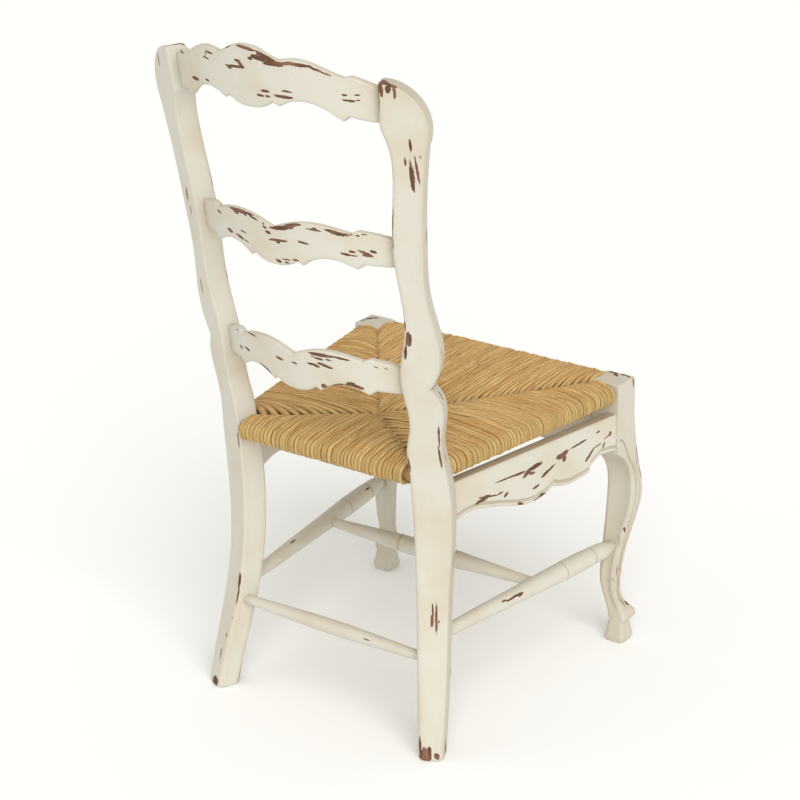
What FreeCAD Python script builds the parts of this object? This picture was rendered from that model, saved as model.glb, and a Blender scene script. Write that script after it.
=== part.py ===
import FreeCAD, Part
import math
import os

from FreeCAD import Vector

os.makedirs("parts", exist_ok=True)

# Dining chair with a rush seat, cabriole front legs and a three-slat back.
# Millimetres, +Z up, the sitter faces -Y, the sitter's right is -X. Heights are above the floor.
# Pieces are drawn with y = 0 at the middle of the front leg blocks; the last step moves the whole
# chair so that its origin is under the middle of its outer box.

# --- Driving sizes: the frame of the chair -----------------------------------------------------
seat_level = 460.0          # top of the front leg blocks
front_half_width = 255.5    # middle of the chair to the outer face of a front leg block
rear_half_gap = 159.0       # middle of the chair to the inner back edge of a rear post, at the seat
seat_depth = 443.0          # middle of the front leg blocks to that same edge of a rear post
back_rise = 579.0           # the rear posts above the seat level
post_turn = 25.0            # degrees that each rear post is turned outwards
fit_gap = 0.2               # clearance all round every tenon
weave_gap = 0.4             # clearance between the rush and the wood

# --- Front legs --------------------------------------------------------------------------------
block_width = 50.0          # leg block, across the chair
block_depth = 48.0          # leg block, front to back
foot_square = 35.0          # the foot at its widest
foot_neck = 26.0            # the foot where it meets the toe
foot_height = 37.0
knee_height = 265.0
ankle_height = 110.0
toe_height = 48.0

# --- Rear posts --------------------------------------------------------------------------------
post_seat_width = 57.5      # the turned face, at the seat
post_foot_width = 40.0      # the turned face, at the floor
post_waist = 42.0           # the turned face between the slats
post_thickness = 36.0       # at the seat
foot_kick = 46.0            # how far the foot of a post stands back of the seat
back_slope = 0.1475         # how far a post leans back for each unit of rise above the seat

# --- Back slats --------------------------------------------------------------------------------
slat_thickness = 12.0
slat_bend_radius = 292.0    # back surface of every slat
slat_setback = 13.0         # back surface of a slat, in from the back face of the posts
slat_tenon = 12.0           # length of a slat's tenon in the post
slat_shoulder = 7.0         # how much lower the tenon is than the slat, above and below
lower_slat_share = 0.2215   # heights of the slats as shares of the rise of the back
middle_slat_share = 0.5648
top_slat_drop = 24.0        # middle height of the top slat, below the tops of the posts

# --- Seat rails and rush -----------------------------------------------------------------------
rush_thickness = 32.0
rush_drop = 1.0             # top of the rush below the leg blocks
rush_cover = 7.5            # rush over a rail
seat_fall = 6.0             # how much lower the seat is at the rear posts
rush_layer = 7.0            # one layer of the weave, over and under the stuffing
rush_round = 15.0           # rounding of the weave over the rails
rail_diameter = 22.0
rail_tenon_diameter = 14.0
rail_tenon = 14.0
front_rail_forward = 12.0   # front rail, forward of the middle of the leg blocks
side_rail_out = 3.5         # side rail, outwards of the middle of the leg blocks
side_rail_along_post = 38.0 # side rail on the post's front face, from its inner edge
rear_rail_in = 16.0         # rear rail, in from the posts' back face
seam_meeting = 300.0        # where the four seams of the weave meet, back of the leg blocks

# --- Aprons ------------------------------------------------------------------------------------
apron_thickness = 20.0
apron_drop = 49.0           # top of the aprons below the leg blocks
apron_setback = 5.0         # aprons in from the outer faces of the leg blocks
apron_along_post = 55.0     # outer face of a side apron on the post, from its inner edge
apron_tenon = 16.0
apron_overrun = 6.0         # how far a board is drawn past its shoulders before it is cut back
apron_tenon_thickness = 10.0
apron_tenon_height = 38.0
apron_arch = 59.0           # depth of the apron at its arches
apron_belly = 86.0          # depth of the apron at its lobes

# --- Stretchers --------------------------------------------------------------------------------
side_stretcher_height = 171.0
rear_stretcher_height = 147.0
side_stretcher_along_post = 36.0
cross_stretcher_back = 175.0  # cross stretcher, back of the leg blocks
side_stretcher_end = 18.0
side_stretcher_swell = 31.0
cross_stretcher_end = 15.0
cross_stretcher_swell = 28.5
rear_stretcher_end = 15.0
rear_stretcher_swell = 23.0
stretcher_tenon = 15.0
cross_tenon = 11.0
stretcher_shoulder = 1.0    # step from the end of a stretcher in to its tenon, all round
ring_groove = 1.4           # depth of a turned ring groove
ring_groove_half = 2.2      # half of its width

# --- Levels and places worked out from the sizes above ------------------------------------------
post_top = seat_level + back_rise
lower_slat_level = seat_level + lower_slat_share * back_rise
middle_slat_level = seat_level + middle_slat_share * back_rise
top_slat_level = post_top - top_slat_drop
rush_top = seat_level - rush_drop
rush_bottom = rush_top - rush_thickness
rail_level = (rush_top + rush_bottom) / 2
rush_reach = rail_diameter / 2 + rush_cover
apron_top = seat_level - apron_drop
leg_x = front_half_width - block_width / 2
leg_arch = apron_top - apron_arch - 8.0   # where a leg's inner faces leave the block
turn = math.radians(post_turn)
outward = Vector(math.cos(turn), -math.sin(turn), 0)
backward = Vector(math.sin(turn), math.cos(turn), 0)
up = Vector(0, 0, 1)
far = 400.0                 # longer than any cut needs


# --- Small tools -------------------------------------------------------------------------------
def in_front_view(a, z):
    return Vector(a, 0, z)


def in_side_view(a, z):
    return Vector(0, a, z)


def outline(view, start, *steps):
    """Closed face. Each step starts where the last one ended: one point is a straight line,
    two are an arc through the first to the second, three or more a smooth curve. A straight
    line closes the face if the last step doesn't end on the start."""
    here = view(*start)
    edges = []
    for step in steps:
        points = [view(*point) for point in step]
        if len(points) == 1:
            edges.append(Part.LineSegment(here, points[0]).toShape())
        elif len(points) == 2:
            edges.append(Part.Arc(here, points[0], points[1]).toShape())
        else:
            curve = Part.BSplineCurve()
            curve.interpolate([here] + points)
            edges.append(curve.toShape())
        here = points[-1]
    if here.distanceToPoint(view(*start)) > 0.001:
        edges.append(Part.LineSegment(here, view(*start)).toShape())
    return Part.Face(Part.Wire(edges))


def sawn_both_ways(front_face, side_face):
    """A piece sawn to one outline from the front and to another from the side."""
    seen_from_front = front_face.copy()
    seen_from_front.translate(Vector(0, -far, 0))
    seen_from_side = side_face.copy()
    seen_from_side.translate(Vector(-far, 0, 0))
    return seen_from_front.extrude(Vector(0, 2 * far, 0)).common(
        seen_from_side.extrude(Vector(2 * far, 0, 0)))


def mirrored(shape):
    return shape.mirror(Vector(0, 0, 0), Vector(1, 0, 0))


def bar(start, end, diameter):
    along = end - start
    return Part.makeCylinder(diameter / 2, along.Length, start, along)


def box_between(low, high):
    size = high - low
    return Part.makeBox(size.x, size.y, size.z, low)


def turned(start, end, *profile):
    """A turned piece from start to end, from the steps of its half section as outline() takes
    them: (radius, distance from the start). The section starts and ends on the axis."""
    solid = outline(in_front_view, (0, 0), *profile).revolve(Vector(0, 0, 0), up, 360)
    solid.Placement = FreeCAD.Placement(start, FreeCAD.Rotation(up, end - start))
    return solid


def ring(at, radius):
    """A ring groove in a turned profile, from half a groove before a distance to half past it."""
    return [(radius - ring_groove, at), (radius, at + ring_groove_half)]


# --- Rear posts --------------------------------------------------------------------------------
# Each post is a board sawn to a waved outline across its face and to a raked line from the side.
# Local axes: x across the face from its inner edge at the seat, y back from the back face there.
rake = [                    # (height, back face, thickness)
    (0.0, foot_kick, 38.0),
    (0.13 * seat_level, 0.70 * foot_kick, 37.5),
    (0.26 * seat_level, 0.36 * foot_kick, 37.5),
    (0.43 * seat_level, 0.0, 38.0),
    (0.72 * seat_level, -8.8, 39.0),
    (seat_level, 0.0, post_thickness),
    (lower_slat_level, back_slope * (lower_slat_level - seat_level), 34.0),
    (middle_slat_level, back_slope * (middle_slat_level - seat_level), 35.0),
    (top_slat_level - 50.0, back_slope * (top_slat_level - 50.0 - seat_level), 34.0),
    (post_top, back_slope * back_rise, 32.0),
]
back_line = [(back, height) for height, back, thickness in rake]
front_line = [(back - thickness, height) for height, back, thickness in rake]

foot_inner = post_seat_width - post_foot_width - 2.0
inner_edge = [              # (across the face, height), the raised lands carry the slats
    (foot_inner, 0.0),
    (0.56 * foot_inner, 0.37 * seat_level),
    (0.40 * foot_inner, 0.65 * seat_level),
    (0.0, seat_level),
    (-0.8, seat_level + 17.0),
    (5.0, lower_slat_level - 72.0),
    (-4.3, lower_slat_level + 8.0),
    (5.0, lower_slat_level + 76.0),
    (-4.3, middle_slat_level - 5.0),
    (0.5, top_slat_level - 115.0),
    (-2.5, top_slat_level - 71.0),
    (-12.5, top_slat_level - 42.0),
]
notch_level = lower_slat_level - 6.0   # the sharp notch behind the lower slat
lower_outer = [
    (post_seat_width - 1.5, 0.2 * seat_level),
    (post_seat_width, 0.55 * seat_level),
    (post_seat_width, seat_level - 18.0),
    (post_seat_width - 6.5, seat_level + 31.0),
    (post_seat_width - 1.8, notch_level - 52.0),
    (post_seat_width - 5.0, notch_level - 20.0),
    (post_seat_width - 16.5, notch_level),
]
waist_x = post_waist - 3.5
upper_outer = [
    (post_seat_width - 6.5, notch_level + 22.0),
    (post_seat_width - 1.8, notch_level + 58.0),
    (post_seat_width - 9.0, notch_level + 98.0),
    (waist_x + 0.8, notch_level + 146.0),
    (waist_x, middle_slat_level - 5.0),
    (waist_x + 2.5, top_slat_level - 155.0),
    (waist_x + 11.0, top_slat_level - 70.0),
]
ear_top = [(waist_x - 3.0, post_top - 21.0), (-3.0, post_top)]


def post_place(across, back, height):
    """A point of the left post, from its own axes to the chair's."""
    return Vector(rear_half_gap, seat_depth, height) + outward * across + backward * back


def on_line(line, height):
    """How far across or back a smooth line through the points is, at a height."""
    curve = Part.BSplineCurve()
    curve.interpolate([in_front_view(a, z) for a, z in line])
    low, high = curve.FirstParameter, curve.LastParameter
    for halving in range(40):
        middle = (low + high) / 2
        if curve.value(middle).z < height:
            low = middle
        else:
            high = middle
    return curve.value(low).x


def rear_post_blank():
    face = outline(in_front_view, (post_seat_width - 3.5, 0.0), lower_outer, upper_outer, ear_top,
                   [(-13.0, post_top)], [(-13.0, top_slat_level - 38.0)], inner_edge[::-1])
    side = outline(in_side_view, back_line[0], back_line[1:], [front_line[-1]],
                   front_line[-2::-1])
    post = sawn_both_ways(face, side)
    post.rotate(Vector(0, 0, 0), up, -post_turn)
    post.translate(Vector(rear_half_gap, seat_depth, 0))
    return post


# --- Front legs --------------------------------------------------------------------------------
# Cabriole legs, sawn to one outline from the front and to another from the side, on a square
# block that takes the rails and the aprons and over a small flared foot.
inner = leg_x - block_width / 2
outer = front_half_width
front = -block_depth / 2
back = block_depth / 2
leg_outer_line = [          # (across the chair, height), from the toe up to the block
    (outer - 5.0, toe_height), (outer - 13.5, toe_height + 20.0), (outer - 17.0, ankle_height),
    (outer - 4.0, knee_height - 62.0), (outer + 6.5, knee_height),
    (outer + 3.0, knee_height + 55.0), (outer, leg_arch + 45.0),
]
leg_inner_line = [
    (inner + 16.0, foot_height - 2.0), (inner + 9.0, toe_height + 12.0),
    (inner + 3.5, ankle_height - 12.0), (inner + 4.0, ankle_height + 40.0),
    (inner + 8.0, knee_height - 10.0), (inner + 6.0, knee_height + 45.0), (inner, leg_arch),
]
leg_front_line = [          # (back of the middle of the block, height)
    (front - 22.0, toe_height + 1.0), (front - 3.0, toe_height + 24.0),
    (front + 2.5, ankle_height + 10.0), (front - 10.5, knee_height - 62.0),
    (front - 18.0, knee_height), (front - 10.0, knee_height + 52.0), (front, leg_arch + 55.0),
]
leg_back_line = [
    (front + 16.0, foot_height - 2.0), (back - 31.0, toe_height + 12.0),
    (back - 21.0, ankle_height - 5.0), (back - 22.5, ankle_height + 45.0),
    (back - 33.5, knee_height), (back - 29.0, knee_height + 48.0), (back, leg_arch),
]


def front_leg_blank():
    from_front = outline(
        in_front_view, (inner, seat_level), [(outer, seat_level)], [leg_outer_line[-1]],
        leg_outer_line[-2::-1], [(outer - 4.0, toe_height - 5.0), (outer - 8.0, foot_height - 2.0)],
        [leg_inner_line[0]], leg_inner_line[1:])
    from_side = outline(
        in_side_view, (back, seat_level), [(front, seat_level)], [leg_front_line[-1]],
        leg_front_line[-2::-1],
        [(front - 23.0, toe_height - 5.0), (front - 16.0, foot_height - 2.0)],
        [leg_back_line[0]], leg_back_line[1:])
    leg = sawn_both_ways(from_front, from_side)
    middle_x = outer - 5.0 - foot_square / 2 + 1.0
    middle_y = front + 4.0
    steps = [(foot_square - 3.0, 0.0), (foot_square, 9.0), (foot_neck, foot_height)]
    squares = []
    for width, height in steps:
        h = width / 2
        corners = [Vector(middle_x + a * h, middle_y + b * h, height)
                   for a, b in ((-1, -1), (1, -1), (1, 1), (-1, 1), (-1, -1))]
        squares.append(Part.makePolygon(corners))
    foot = Part.makeLoft(squares, True, True)
    return leg.fuse(foot).removeSplitter()


# --- Back slats --------------------------------------------------------------------------------
# Bent boards, each sawn to a waved outline. Half outlines run from the middle outwards, in
# (across, above the slat's level) points, drawn for a nominal gap between the posts.
ladder_half = 168.0
ladder_upper = [(0.0, 24.0)], [
    [(36.0, 36.0), (82.0, 36.5), (117.0, 27.0)],
    [(124.0, 31.5), (132.0, 30.5)],
    [(148.0, 27.0), (162.0, 22.0), (180.0, 18.0)],
]
ladder_lower = [(0.0, -33.0)], [
    [(20.0, -31.0), (37.0, -22.5)],
    [(45.0, -27.5)],
    [(60.0, -18.0), (82.0, -13.0), (104.0, -17.0), (121.0, -25.5)],
    [(132.0, -18.5)],
    [(156.0, -21.0), (180.0, -23.0)],
]
crest_half = 176.0
crest_upper = [(0.0, 62.5)], [
    [(18.0, 60.5), (36.0, 52.0), (51.0, 46.5)],
    [(72.0, 49.5), (96.0, 45.0), (119.0, 34.0), (136.0, 26.5)],
    [(142.0, 28.5), (148.0, 27.0)],
    [(160.0, 21.0), (174.0, 13.0), (188.0, 8.0)],
]
crest_lower = [(0.0, -25.5)], [
    [(20.0, -23.5), (37.0, -14.0)],
    [(46.0, -19.5)],
    [(64.0, -11.5), (86.0, -10.0), (110.0, -19.0), (131.0, -34.5)],
    [(139.0, -28.0)],
    [(162.0, -34.5), (188.0, -38.0)],
]


def slat_end(level):
    """Where a slat's back surface meets the inner face of the left post."""
    across = on_line(inner_edge, min(level, inner_edge[-1][1]))
    return post_place(across, on_line(back_line, level) - slat_setback, level)


def backwards(start, steps):
    """The same run of steps from its other end."""
    starts = start + [step[-1] for step in steps[:-1]]
    return [step[-2::-1] + [begin] for step, begin in list(zip(steps, starts))[::-1]]


def slat_face(level, half, upper, lower):
    """The waved face of a slat from the front, its waves spread to the gap it spans."""
    spread = slat_end(level).x / half

    def placed(step, side):
        return [(side * spread * a, level + b) for a, b in step]

    top_start, top_steps = upper
    low_start, low_steps = lower
    steps = [placed(step, 1) for step in top_steps]
    steps.append(placed([low_steps[-1][-1]], 1))
    steps += [placed(step, 1) for step in backwards(low_start, low_steps)]
    steps += [placed(step, -1) for step in low_steps]
    steps.append(placed([top_steps[-1][-1]], -1))
    steps += [placed(step, -1) for step in backwards(top_start, top_steps)]
    return outline(in_front_view, (0.0, level + top_start[0][1]), *steps)


def tenon_face(level, upper, lower, grow):
    """The plain face of a slat's two tenons, from the front."""
    top = level + upper[1][-1][-1][1] - slat_shoulder + grow
    low = level + lower[1][-1][-1][1] + slat_shoulder - grow
    reach = slat_end(level).x + slat_tenon + grow
    return outline(in_front_view, (-reach, top), [(reach, top)], [(reach, low)], [(-reach, low)])


def bent_board(level, grow=0.0):
    """A tall board on the bend and lean of the slat at that level."""
    end = slat_end(level)
    radius = slat_bend_radius
    middle_y = end.y + radius - math.sqrt(radius ** 2 - end.x ** 2)
    lean = back_slope * math.cos(turn)
    low = Vector(0, middle_y - radius - lean * board_half, level - board_half)
    outer = Part.Face(Part.Wire(Part.makeCircle(radius + grow, low)))
    inner = Part.Face(Part.Wire(Part.makeCircle(radius - slat_thickness - grow, low)))
    return outer.cut(inner).extrude(Vector(0, 2 * lean * board_half, 2 * board_half))


def through(face, board):
    """The part of a bent board behind its own middle that lies within a face seen from the front."""
    slab = face.copy()
    slab.translate(Vector(0, seat_depth - slat_bend_radius / 2, 0))
    return slab.extrude(Vector(0, far, 0)).common(board)


def slat_tenons(level, upper, lower, grow=0.0):
    return through(tenon_face(level, upper, lower, grow), bent_board(level, grow))


def back_slat(level, half, upper, lower):
    body = through(slat_face(level, half, upper, lower), bent_board(level))
    for post in (post_blank, mirrored(post_blank)):
        tenon = slat_tenons(level, upper, lower).common(post)
        body = body.cut(post).fuse(tenon)
    return body.removeSplitter()


board_half = 90.0
slats = {
    "lower_slat": (lower_slat_level, ladder_half, ladder_upper, ladder_lower),
    "middle_slat": (middle_slat_level, ladder_half, ladder_upper, ladder_lower),
    "top_slat": (top_slat_level, crest_half, crest_upper, crest_lower),
}


# --- Seat rails --------------------------------------------------------------------------------
def rail_height(y):
    """The seat falls a little towards the back."""
    return rail_level - seat_fall * y / seat_depth


def post_front(along, height):
    """A point on the left post's front face, from its inner edge outwards."""
    return post_place(along, on_line(front_line, height), height)


front_rail_y = -front_rail_forward
rear_rail_place = post_place(0, -rear_rail_in, rail_height(seat_depth))
rail_runs = {               # the two ends of each rail, on the faces that it joins
    "front": (Vector(block_width - front_half_width, front_rail_y, rail_height(front_rail_y)),
              Vector(front_half_width - block_width, front_rail_y, rail_height(front_rail_y))),
    "rear": (Vector(-rear_rail_place.x, rear_rail_place.y, rear_rail_place.z), rear_rail_place),
    "left": (Vector(leg_x + side_rail_out, block_depth / 2, rail_height(block_depth / 2)),
             post_front(side_rail_along_post, rail_height(seat_depth))),
}
rail_runs["right"] = tuple(Vector(-end.x, end.y, end.z) for end in rail_runs["left"])


def tenon_bar(start, end, diameter, length, grow=0.0):
    """A round bar that reaches past both ends by a tenon's length."""
    along = (end - start).normalize()
    return bar(start - along * (length + grow), end + along * (length + grow), diameter + 2 * grow)


def joined(body, tenons, woods):
    """A piece cut back to the wood it meets, with the tenons that go into that wood."""
    inside = [tenons.common(wood) for wood in woods]
    for wood in woods:
        body = body.cut(wood)
    for tenon in inside:
        if tenon.Volume > 1.0:
            body = body.fuse(tenon)
    return body.removeSplitter()


def seat_rail(start, end):
    body = tenon_bar(start, end, rail_diameter, rail_diameter / 3)
    return joined(body, tenon_bar(start, end, rail_tenon_diameter, rail_tenon), wood_blanks)


# --- Rush seat ---------------------------------------------------------------------------------
# The weave is wound over the rails in four quarters that meet along seams from the corners.
def seat_plan(inset, low, high):
    """The seat's four-sided plan between two heights, its sides inset from the rails' lines."""
    reach = rush_reach - inset
    side = rail_runs["left"][1] - rail_runs["left"][0]
    front_y = front_rail_y - reach
    back_y = rear_rail_place.y + reach
    across = reach * side.Length / side.y
    edge = [rail_runs["left"][0].x + (y - rail_runs["left"][0].y) * side.x / side.y + across
            for y in (front_y, back_y)]
    corners = [Vector(-edge[0], front_y, low), Vector(edge[0], front_y, low),
               Vector(edge[1], back_y, low), Vector(-edge[1], back_y, low)]
    face = Part.Face(Part.makePolygon(corners + corners[:1]))
    return face.extrude(Vector(0, 0, high - low)), corners


def tilted(shape):
    """The seat's slight fall towards the back."""
    angle = -math.degrees(math.atan2(seat_fall, seat_depth))
    return shape.rotate(Vector(0, 0, rail_level), Vector(1, 0, 0), angle)


def corner_clearances():
    """Room for the leg blocks and the posts, out past the corners of the seat."""
    block = box_between(
        Vector(front_half_width - block_width - weave_gap, -far, rush_bottom - rush_thickness),
        Vector(far, block_depth / 2 + weave_gap, seat_level + rush_thickness))
    front_face = min(on_line(front_line, height) for height in (rush_bottom - seat_fall, rush_top))
    front_face -= weave_gap
    post = box_between(Vector(-weave_gap, front_face, rush_bottom - rush_thickness),
                       Vector(far, far, seat_level + rush_thickness))
    post.rotate(Vector(0, 0, 0), up, -post_turn)
    post.translate(Vector(rear_half_gap, seat_depth, 0))
    return [block, mirrored(block), post, mirrored(post)]


def rush_blank():
    slab, corners = seat_plan(0.0, rush_bottom, rush_top)
    rims = [edge for edge in slab.Edges
            if abs(edge.Vertexes[0].Z - edge.Vertexes[1].Z) < 0.01]
    slab = tilted(slab.makeFillet(rush_round, rims))
    for cutter in corner_clearances():
        slab = slab.cut(cutter)
    for start, end in rail_runs.values():
        along = (end - start).normalize() * rail_diameter
        slab = slab.cut(bar(start - along, end + along, rail_diameter + 2 * weave_gap))
    return slab


def quarter_wedges():
    """Upright wedges from the meeting of the seams to the four sides of the seat."""
    middle = Vector(0, seam_meeting, 0)
    inner_x = front_half_width - block_width
    back = post_front(0.0, rail_level)
    corners = {"front_left": Vector(inner_x, block_depth / 2, 0),
               "front_right": Vector(-inner_x, block_depth / 2, 0),
               "rear_left": Vector(back.x, back.y, 0),
               "rear_right": Vector(-back.x, back.y, 0)}
    for place, corner in corners.items():
        corners[place] = middle + (corner - middle) * 3.0
    wedges = {}
    for name, first, second in (("front", "front_right", "front_left"),
                                ("left", "front_left", "rear_left"),
                                ("rear", "rear_left", "rear_right"),
                                ("right", "rear_right", "front_right")):
        plan = Part.makePolygon([middle, corners[first], corners[second], middle])
        wedges[name] = Part.Face(plan).extrude(Vector(0, 0, 2 * seat_level))
    return wedges


def stuffing_pad(wedge):
    """The flat padding inside one quarter of the weave."""
    inset = 2 * rush_reach + weave_gap
    pad, corners = seat_plan(inset, rush_bottom + rush_layer, rush_top - rush_layer)
    pad = tilted(pad).common(wedge)
    for cutter in corner_clearances():
        pad = pad.cut(cutter)
    return pad


# --- Aprons ------------------------------------------------------------------------------------
# Waved boards under the seat. Their lower edges run in (share of the length, depth) points.
side_wave = [(0.0, apron_arch + 6.0)], [
    [(0.045, apron_arch), (0.098, apron_arch - 1.7)],
    [(0.139, apron_arch + 6.0), (0.170, apron_belly - 12.5), (0.222, apron_belly - 4.5),
     (0.290, apron_belly - 2.5)],
    [(0.340, apron_belly - 5.5), (0.383, apron_belly - 13.0)],
    [(0.415, apron_belly - 8.0), (0.450, apron_belly - 3.0), (0.520, apron_belly),
     (0.600, apron_belly - 4.0), (0.700, apron_arch + 12.5), (0.800, apron_arch + 3.0),
     (0.890, apron_arch - 1.5), (0.950, apron_arch + 1.0), (1.030, apron_arch + 6.0)],
]
front_wave = [(0.0, apron_arch + 6.0)], [
    [(0.041, apron_arch), (0.090, apron_arch - 1.7)],
    [(0.127, apron_arch + 6.0), (0.155, apron_belly - 12.5), (0.200, apron_belly - 4.5),
     (0.250, apron_belly - 2.5)],
    [(0.290, apron_belly - 5.5), (0.325, apron_belly - 13.0)],
    [(0.360, apron_belly - 6.0), (0.420, apron_belly + 0.5), (0.500, apron_belly + 2.0)],
]


def waved_board(length, wave):
    """A board from x = 0 to its length and a little past, its outer face at y = 0 and its top at
    z = 0. The wood that it meets cuts it back."""
    (start,), steps = wave
    lower = [[(a * length, -depth) for a, depth in step] for step in steps]
    first = (start[0] * length, -start[1])
    last = lower[-1][-1]
    face = outline(in_front_view, (first[0] - apron_overrun, 0.0),
                   [(first[0] - apron_overrun, first[1])], [first], *lower,
                   [(last[0] + apron_overrun, last[1])], [(last[0] + apron_overrun, 0.0)])
    return face.extrude(Vector(0, apron_thickness, 0))


def apron_tenons(length, grow=0.0):
    middle = apron_thickness / 2
    half = apron_tenon_thickness / 2 + grow
    low = -(apron_arch + apron_tenon_height) / 2 - grow
    return box_between(Vector(-apron_tenon - grow, middle - half, low),
                       Vector(length + apron_tenon + grow, middle + half,
                              low + apron_tenon_height + 2 * grow))


apron_start = Vector(front_half_width - apron_setback, block_depth / 2, apron_top)
apron_end = post_front(apron_along_post, apron_top - apron_arch / 2)
side_apron_length = math.hypot(apron_end.x - apron_start.x, apron_end.y - apron_start.y)
side_apron_angle = math.degrees(
    math.atan2(apron_end.y - apron_start.y, apron_end.x - apron_start.x))
front_apron_length = 2 * (front_half_width - block_width)
front_apron_y = apron_setback - block_depth / 2


def set_side_apron(shape):
    """From the board's own axes to the left side of the chair, its outer face outwards."""
    shape.rotate(Vector(0, 0, 0), up, side_apron_angle)
    shape.translate(apron_start)
    return shape


def set_front_apron(shape):
    shape.translate(Vector(-front_apron_length / 2, front_apron_y, apron_top))
    return shape


def side_apron():
    board = waved_board(side_apron_length, side_wave)
    tenons = set_side_apron(apron_tenons(side_apron_length))
    return joined(set_side_apron(board), tenons, wood_blanks)


def front_apron():
    start, steps = front_wave
    mirrored_steps = [[(1.0 - a, depth) for a, depth in step]
                      for step in backwards(start, steps)]
    board = waved_board(front_apron_length, (start, steps + mirrored_steps))
    tenons = set_front_apron(apron_tenons(front_apron_length))
    return joined(set_front_apron(board), tenons, wood_blanks)


# --- Stretchers --------------------------------------------------------------------------------
side_run = (Vector((on_line(leg_inner_line, side_stretcher_height)
                    + on_line(leg_outer_line, side_stretcher_height)) / 2,
                   on_line(leg_back_line, side_stretcher_height), side_stretcher_height),
            post_front(side_stretcher_along_post, side_stretcher_height))


def side_place(y):
    """The point of the left side stretcher's axis at a distance back."""
    start, end = side_run
    return start + (end - start) * ((y - start.y) / (end.y - start.y))


cross_end = side_place(cross_stretcher_back) - Vector(side_stretcher_swell / 2 - 1.0, 0, 0)
rear_stretcher_end_place = post_place(
    on_line(inner_edge, rear_stretcher_height),
    (on_line(back_line, rear_stretcher_height) + on_line(front_line, rear_stretcher_height)) / 2,
    rear_stretcher_height)


def stretcher_tenons(start, end, end_diameter, length, grow=0.0):
    return tenon_bar(start, end, end_diameter - 2 * stretcher_shoulder, length, grow)


def side_stretcher():
    """Turned: a short taper from the leg to the swell, then a long one to the post."""
    start, end = side_run
    along = (end - start).normalize()
    length = (end - start).Length
    begin = start - along * stretcher_tenon
    r = side_stretcher_end / 2
    swell = side_stretcher_swell / 2
    first, second = (stretcher_tenon + share * length for share in (0.125, 0.30))
    whole = length + 2 * stretcher_tenon
    body = turned(begin, end + along * stretcher_tenon, [(r, 0.0)], [(r, stretcher_tenon)],
                  [(r + 0.72 * (swell - r), (stretcher_tenon + first) / 2 + 4.0),
                   (swell - 1.0, first - ring_groove_half)],
                  ring(first, swell - 1.0),
                  [(swell, (first + second) / 2), (swell, second - ring_groove_half)],
                  ring(second, swell),
                  [(swell - 2.0, second + 0.30 * (whole - second)),
                   (r + 0.35 * (swell - r), second + 0.70 * (whole - second)),
                   (r, whole - stretcher_tenon)],
                  [(r, whole)], [(0.0, whole)])
    tenons = stretcher_tenons(start, end, side_stretcher_end, stretcher_tenon)
    return joined(body, tenons, wood_blanks)


def spindle(start, end, end_diameter, swell_diameter, tenon, ring_places, woods):
    """Turned the same to both ends from a swell in the middle."""
    along = (end - start).normalize()
    length = (end - start).Length
    whole = length + 2 * tenon
    r = end_diameter / 2
    swell = swell_diameter / 2
    steps = [[(r, 0.0)], [(r, tenon)]]
    if ring_places:
        low, high = (tenon + share * length for share in ring_places)
        steps += [[(r + 0.45 * (swell - r), tenon + 0.45 * (low - tenon)),
                   (swell - 1.5, tenon + 0.80 * (low - tenon)),
                   (swell, low - ring_groove_half)]]
        steps.append(ring(low, swell))
        steps += [[(swell, high - ring_groove_half)]]
        steps.append(ring(high, swell))
        steps += [[(swell - 1.5, whole - tenon - 0.80 * (low - tenon)),
                   (r + 0.45 * (swell - r), whole - tenon - 0.45 * (low - tenon)),
                   (r, whole - tenon)]]
    else:
        steps += [[(r + 0.6 * (swell - r), tenon + 0.25 * length), (swell, whole / 2),
                   (r + 0.6 * (swell - r), whole - tenon - 0.25 * length), (r, whole - tenon)]]
    steps += [[(r, whole)], [(0.0, whole)]]
    body = turned(start - along * tenon, end + along * tenon, *steps)
    return joined(body, stretcher_tenons(start, end, end_diameter, tenon), woods)


# --- Assembly ----------------------------------------------------------------------------------
post_blank = rear_post_blank()
leg_blank = front_leg_blank()
wood_blanks = [post_blank, mirrored(post_blank), leg_blank, mirrored(leg_blank)]


def left_to_right(place):
    return Vector(-place.x, place.y, place.z)


sockets = [slat_tenons(level, upper, lower, fit_gap) for level, half, upper, lower in slats.values()]
sockets += [tenon_bar(start, end, rail_tenon_diameter, rail_tenon, fit_gap)
            for start, end in rail_runs.values()]
sockets.append(set_side_apron(apron_tenons(side_apron_length, fit_gap)))
sockets.append(set_front_apron(apron_tenons(front_apron_length, fit_gap)))
rear_stretcher_run = (left_to_right(rear_stretcher_end_place), rear_stretcher_end_place)
cross_run = (left_to_right(cross_end), cross_end)
sockets.append(stretcher_tenons(*side_run, side_stretcher_end, stretcher_tenon, fit_gap))
sockets.append(stretcher_tenons(*rear_stretcher_run, rear_stretcher_end, stretcher_tenon, fit_gap))


def with_sockets(blank):
    """A post or leg with its mortises and drilled holes."""
    for socket in sockets:
        blank = blank.cut(socket)
    return blank


pieces = {"rear_post_left": with_sockets(post_blank), "front_leg_left": with_sockets(leg_blank)}
for name, slat in slats.items():
    pieces[name] = back_slat(*slat)
for place, (start, end) in rail_runs.items():
    pieces["seat_rail_" + place] = seat_rail(start, end)

weave = rush_blank()
wedges = quarter_wedges()
pads = [stuffing_pad(wedge) for wedge in wedges.values()]
for pad in pads:
    around = pad.makeOffsetShape(weave_gap / 2, 0.01, join=2)
    weave = weave.cut(around)
for place, wedge in wedges.items():
    pieces["rush_" + place] = weave.common(wedge)
pieces["seat_stuffing"] = Part.makeCompound(pads)

pieces["apron_left"] = side_apron()
pieces["apron_front"] = front_apron()

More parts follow.
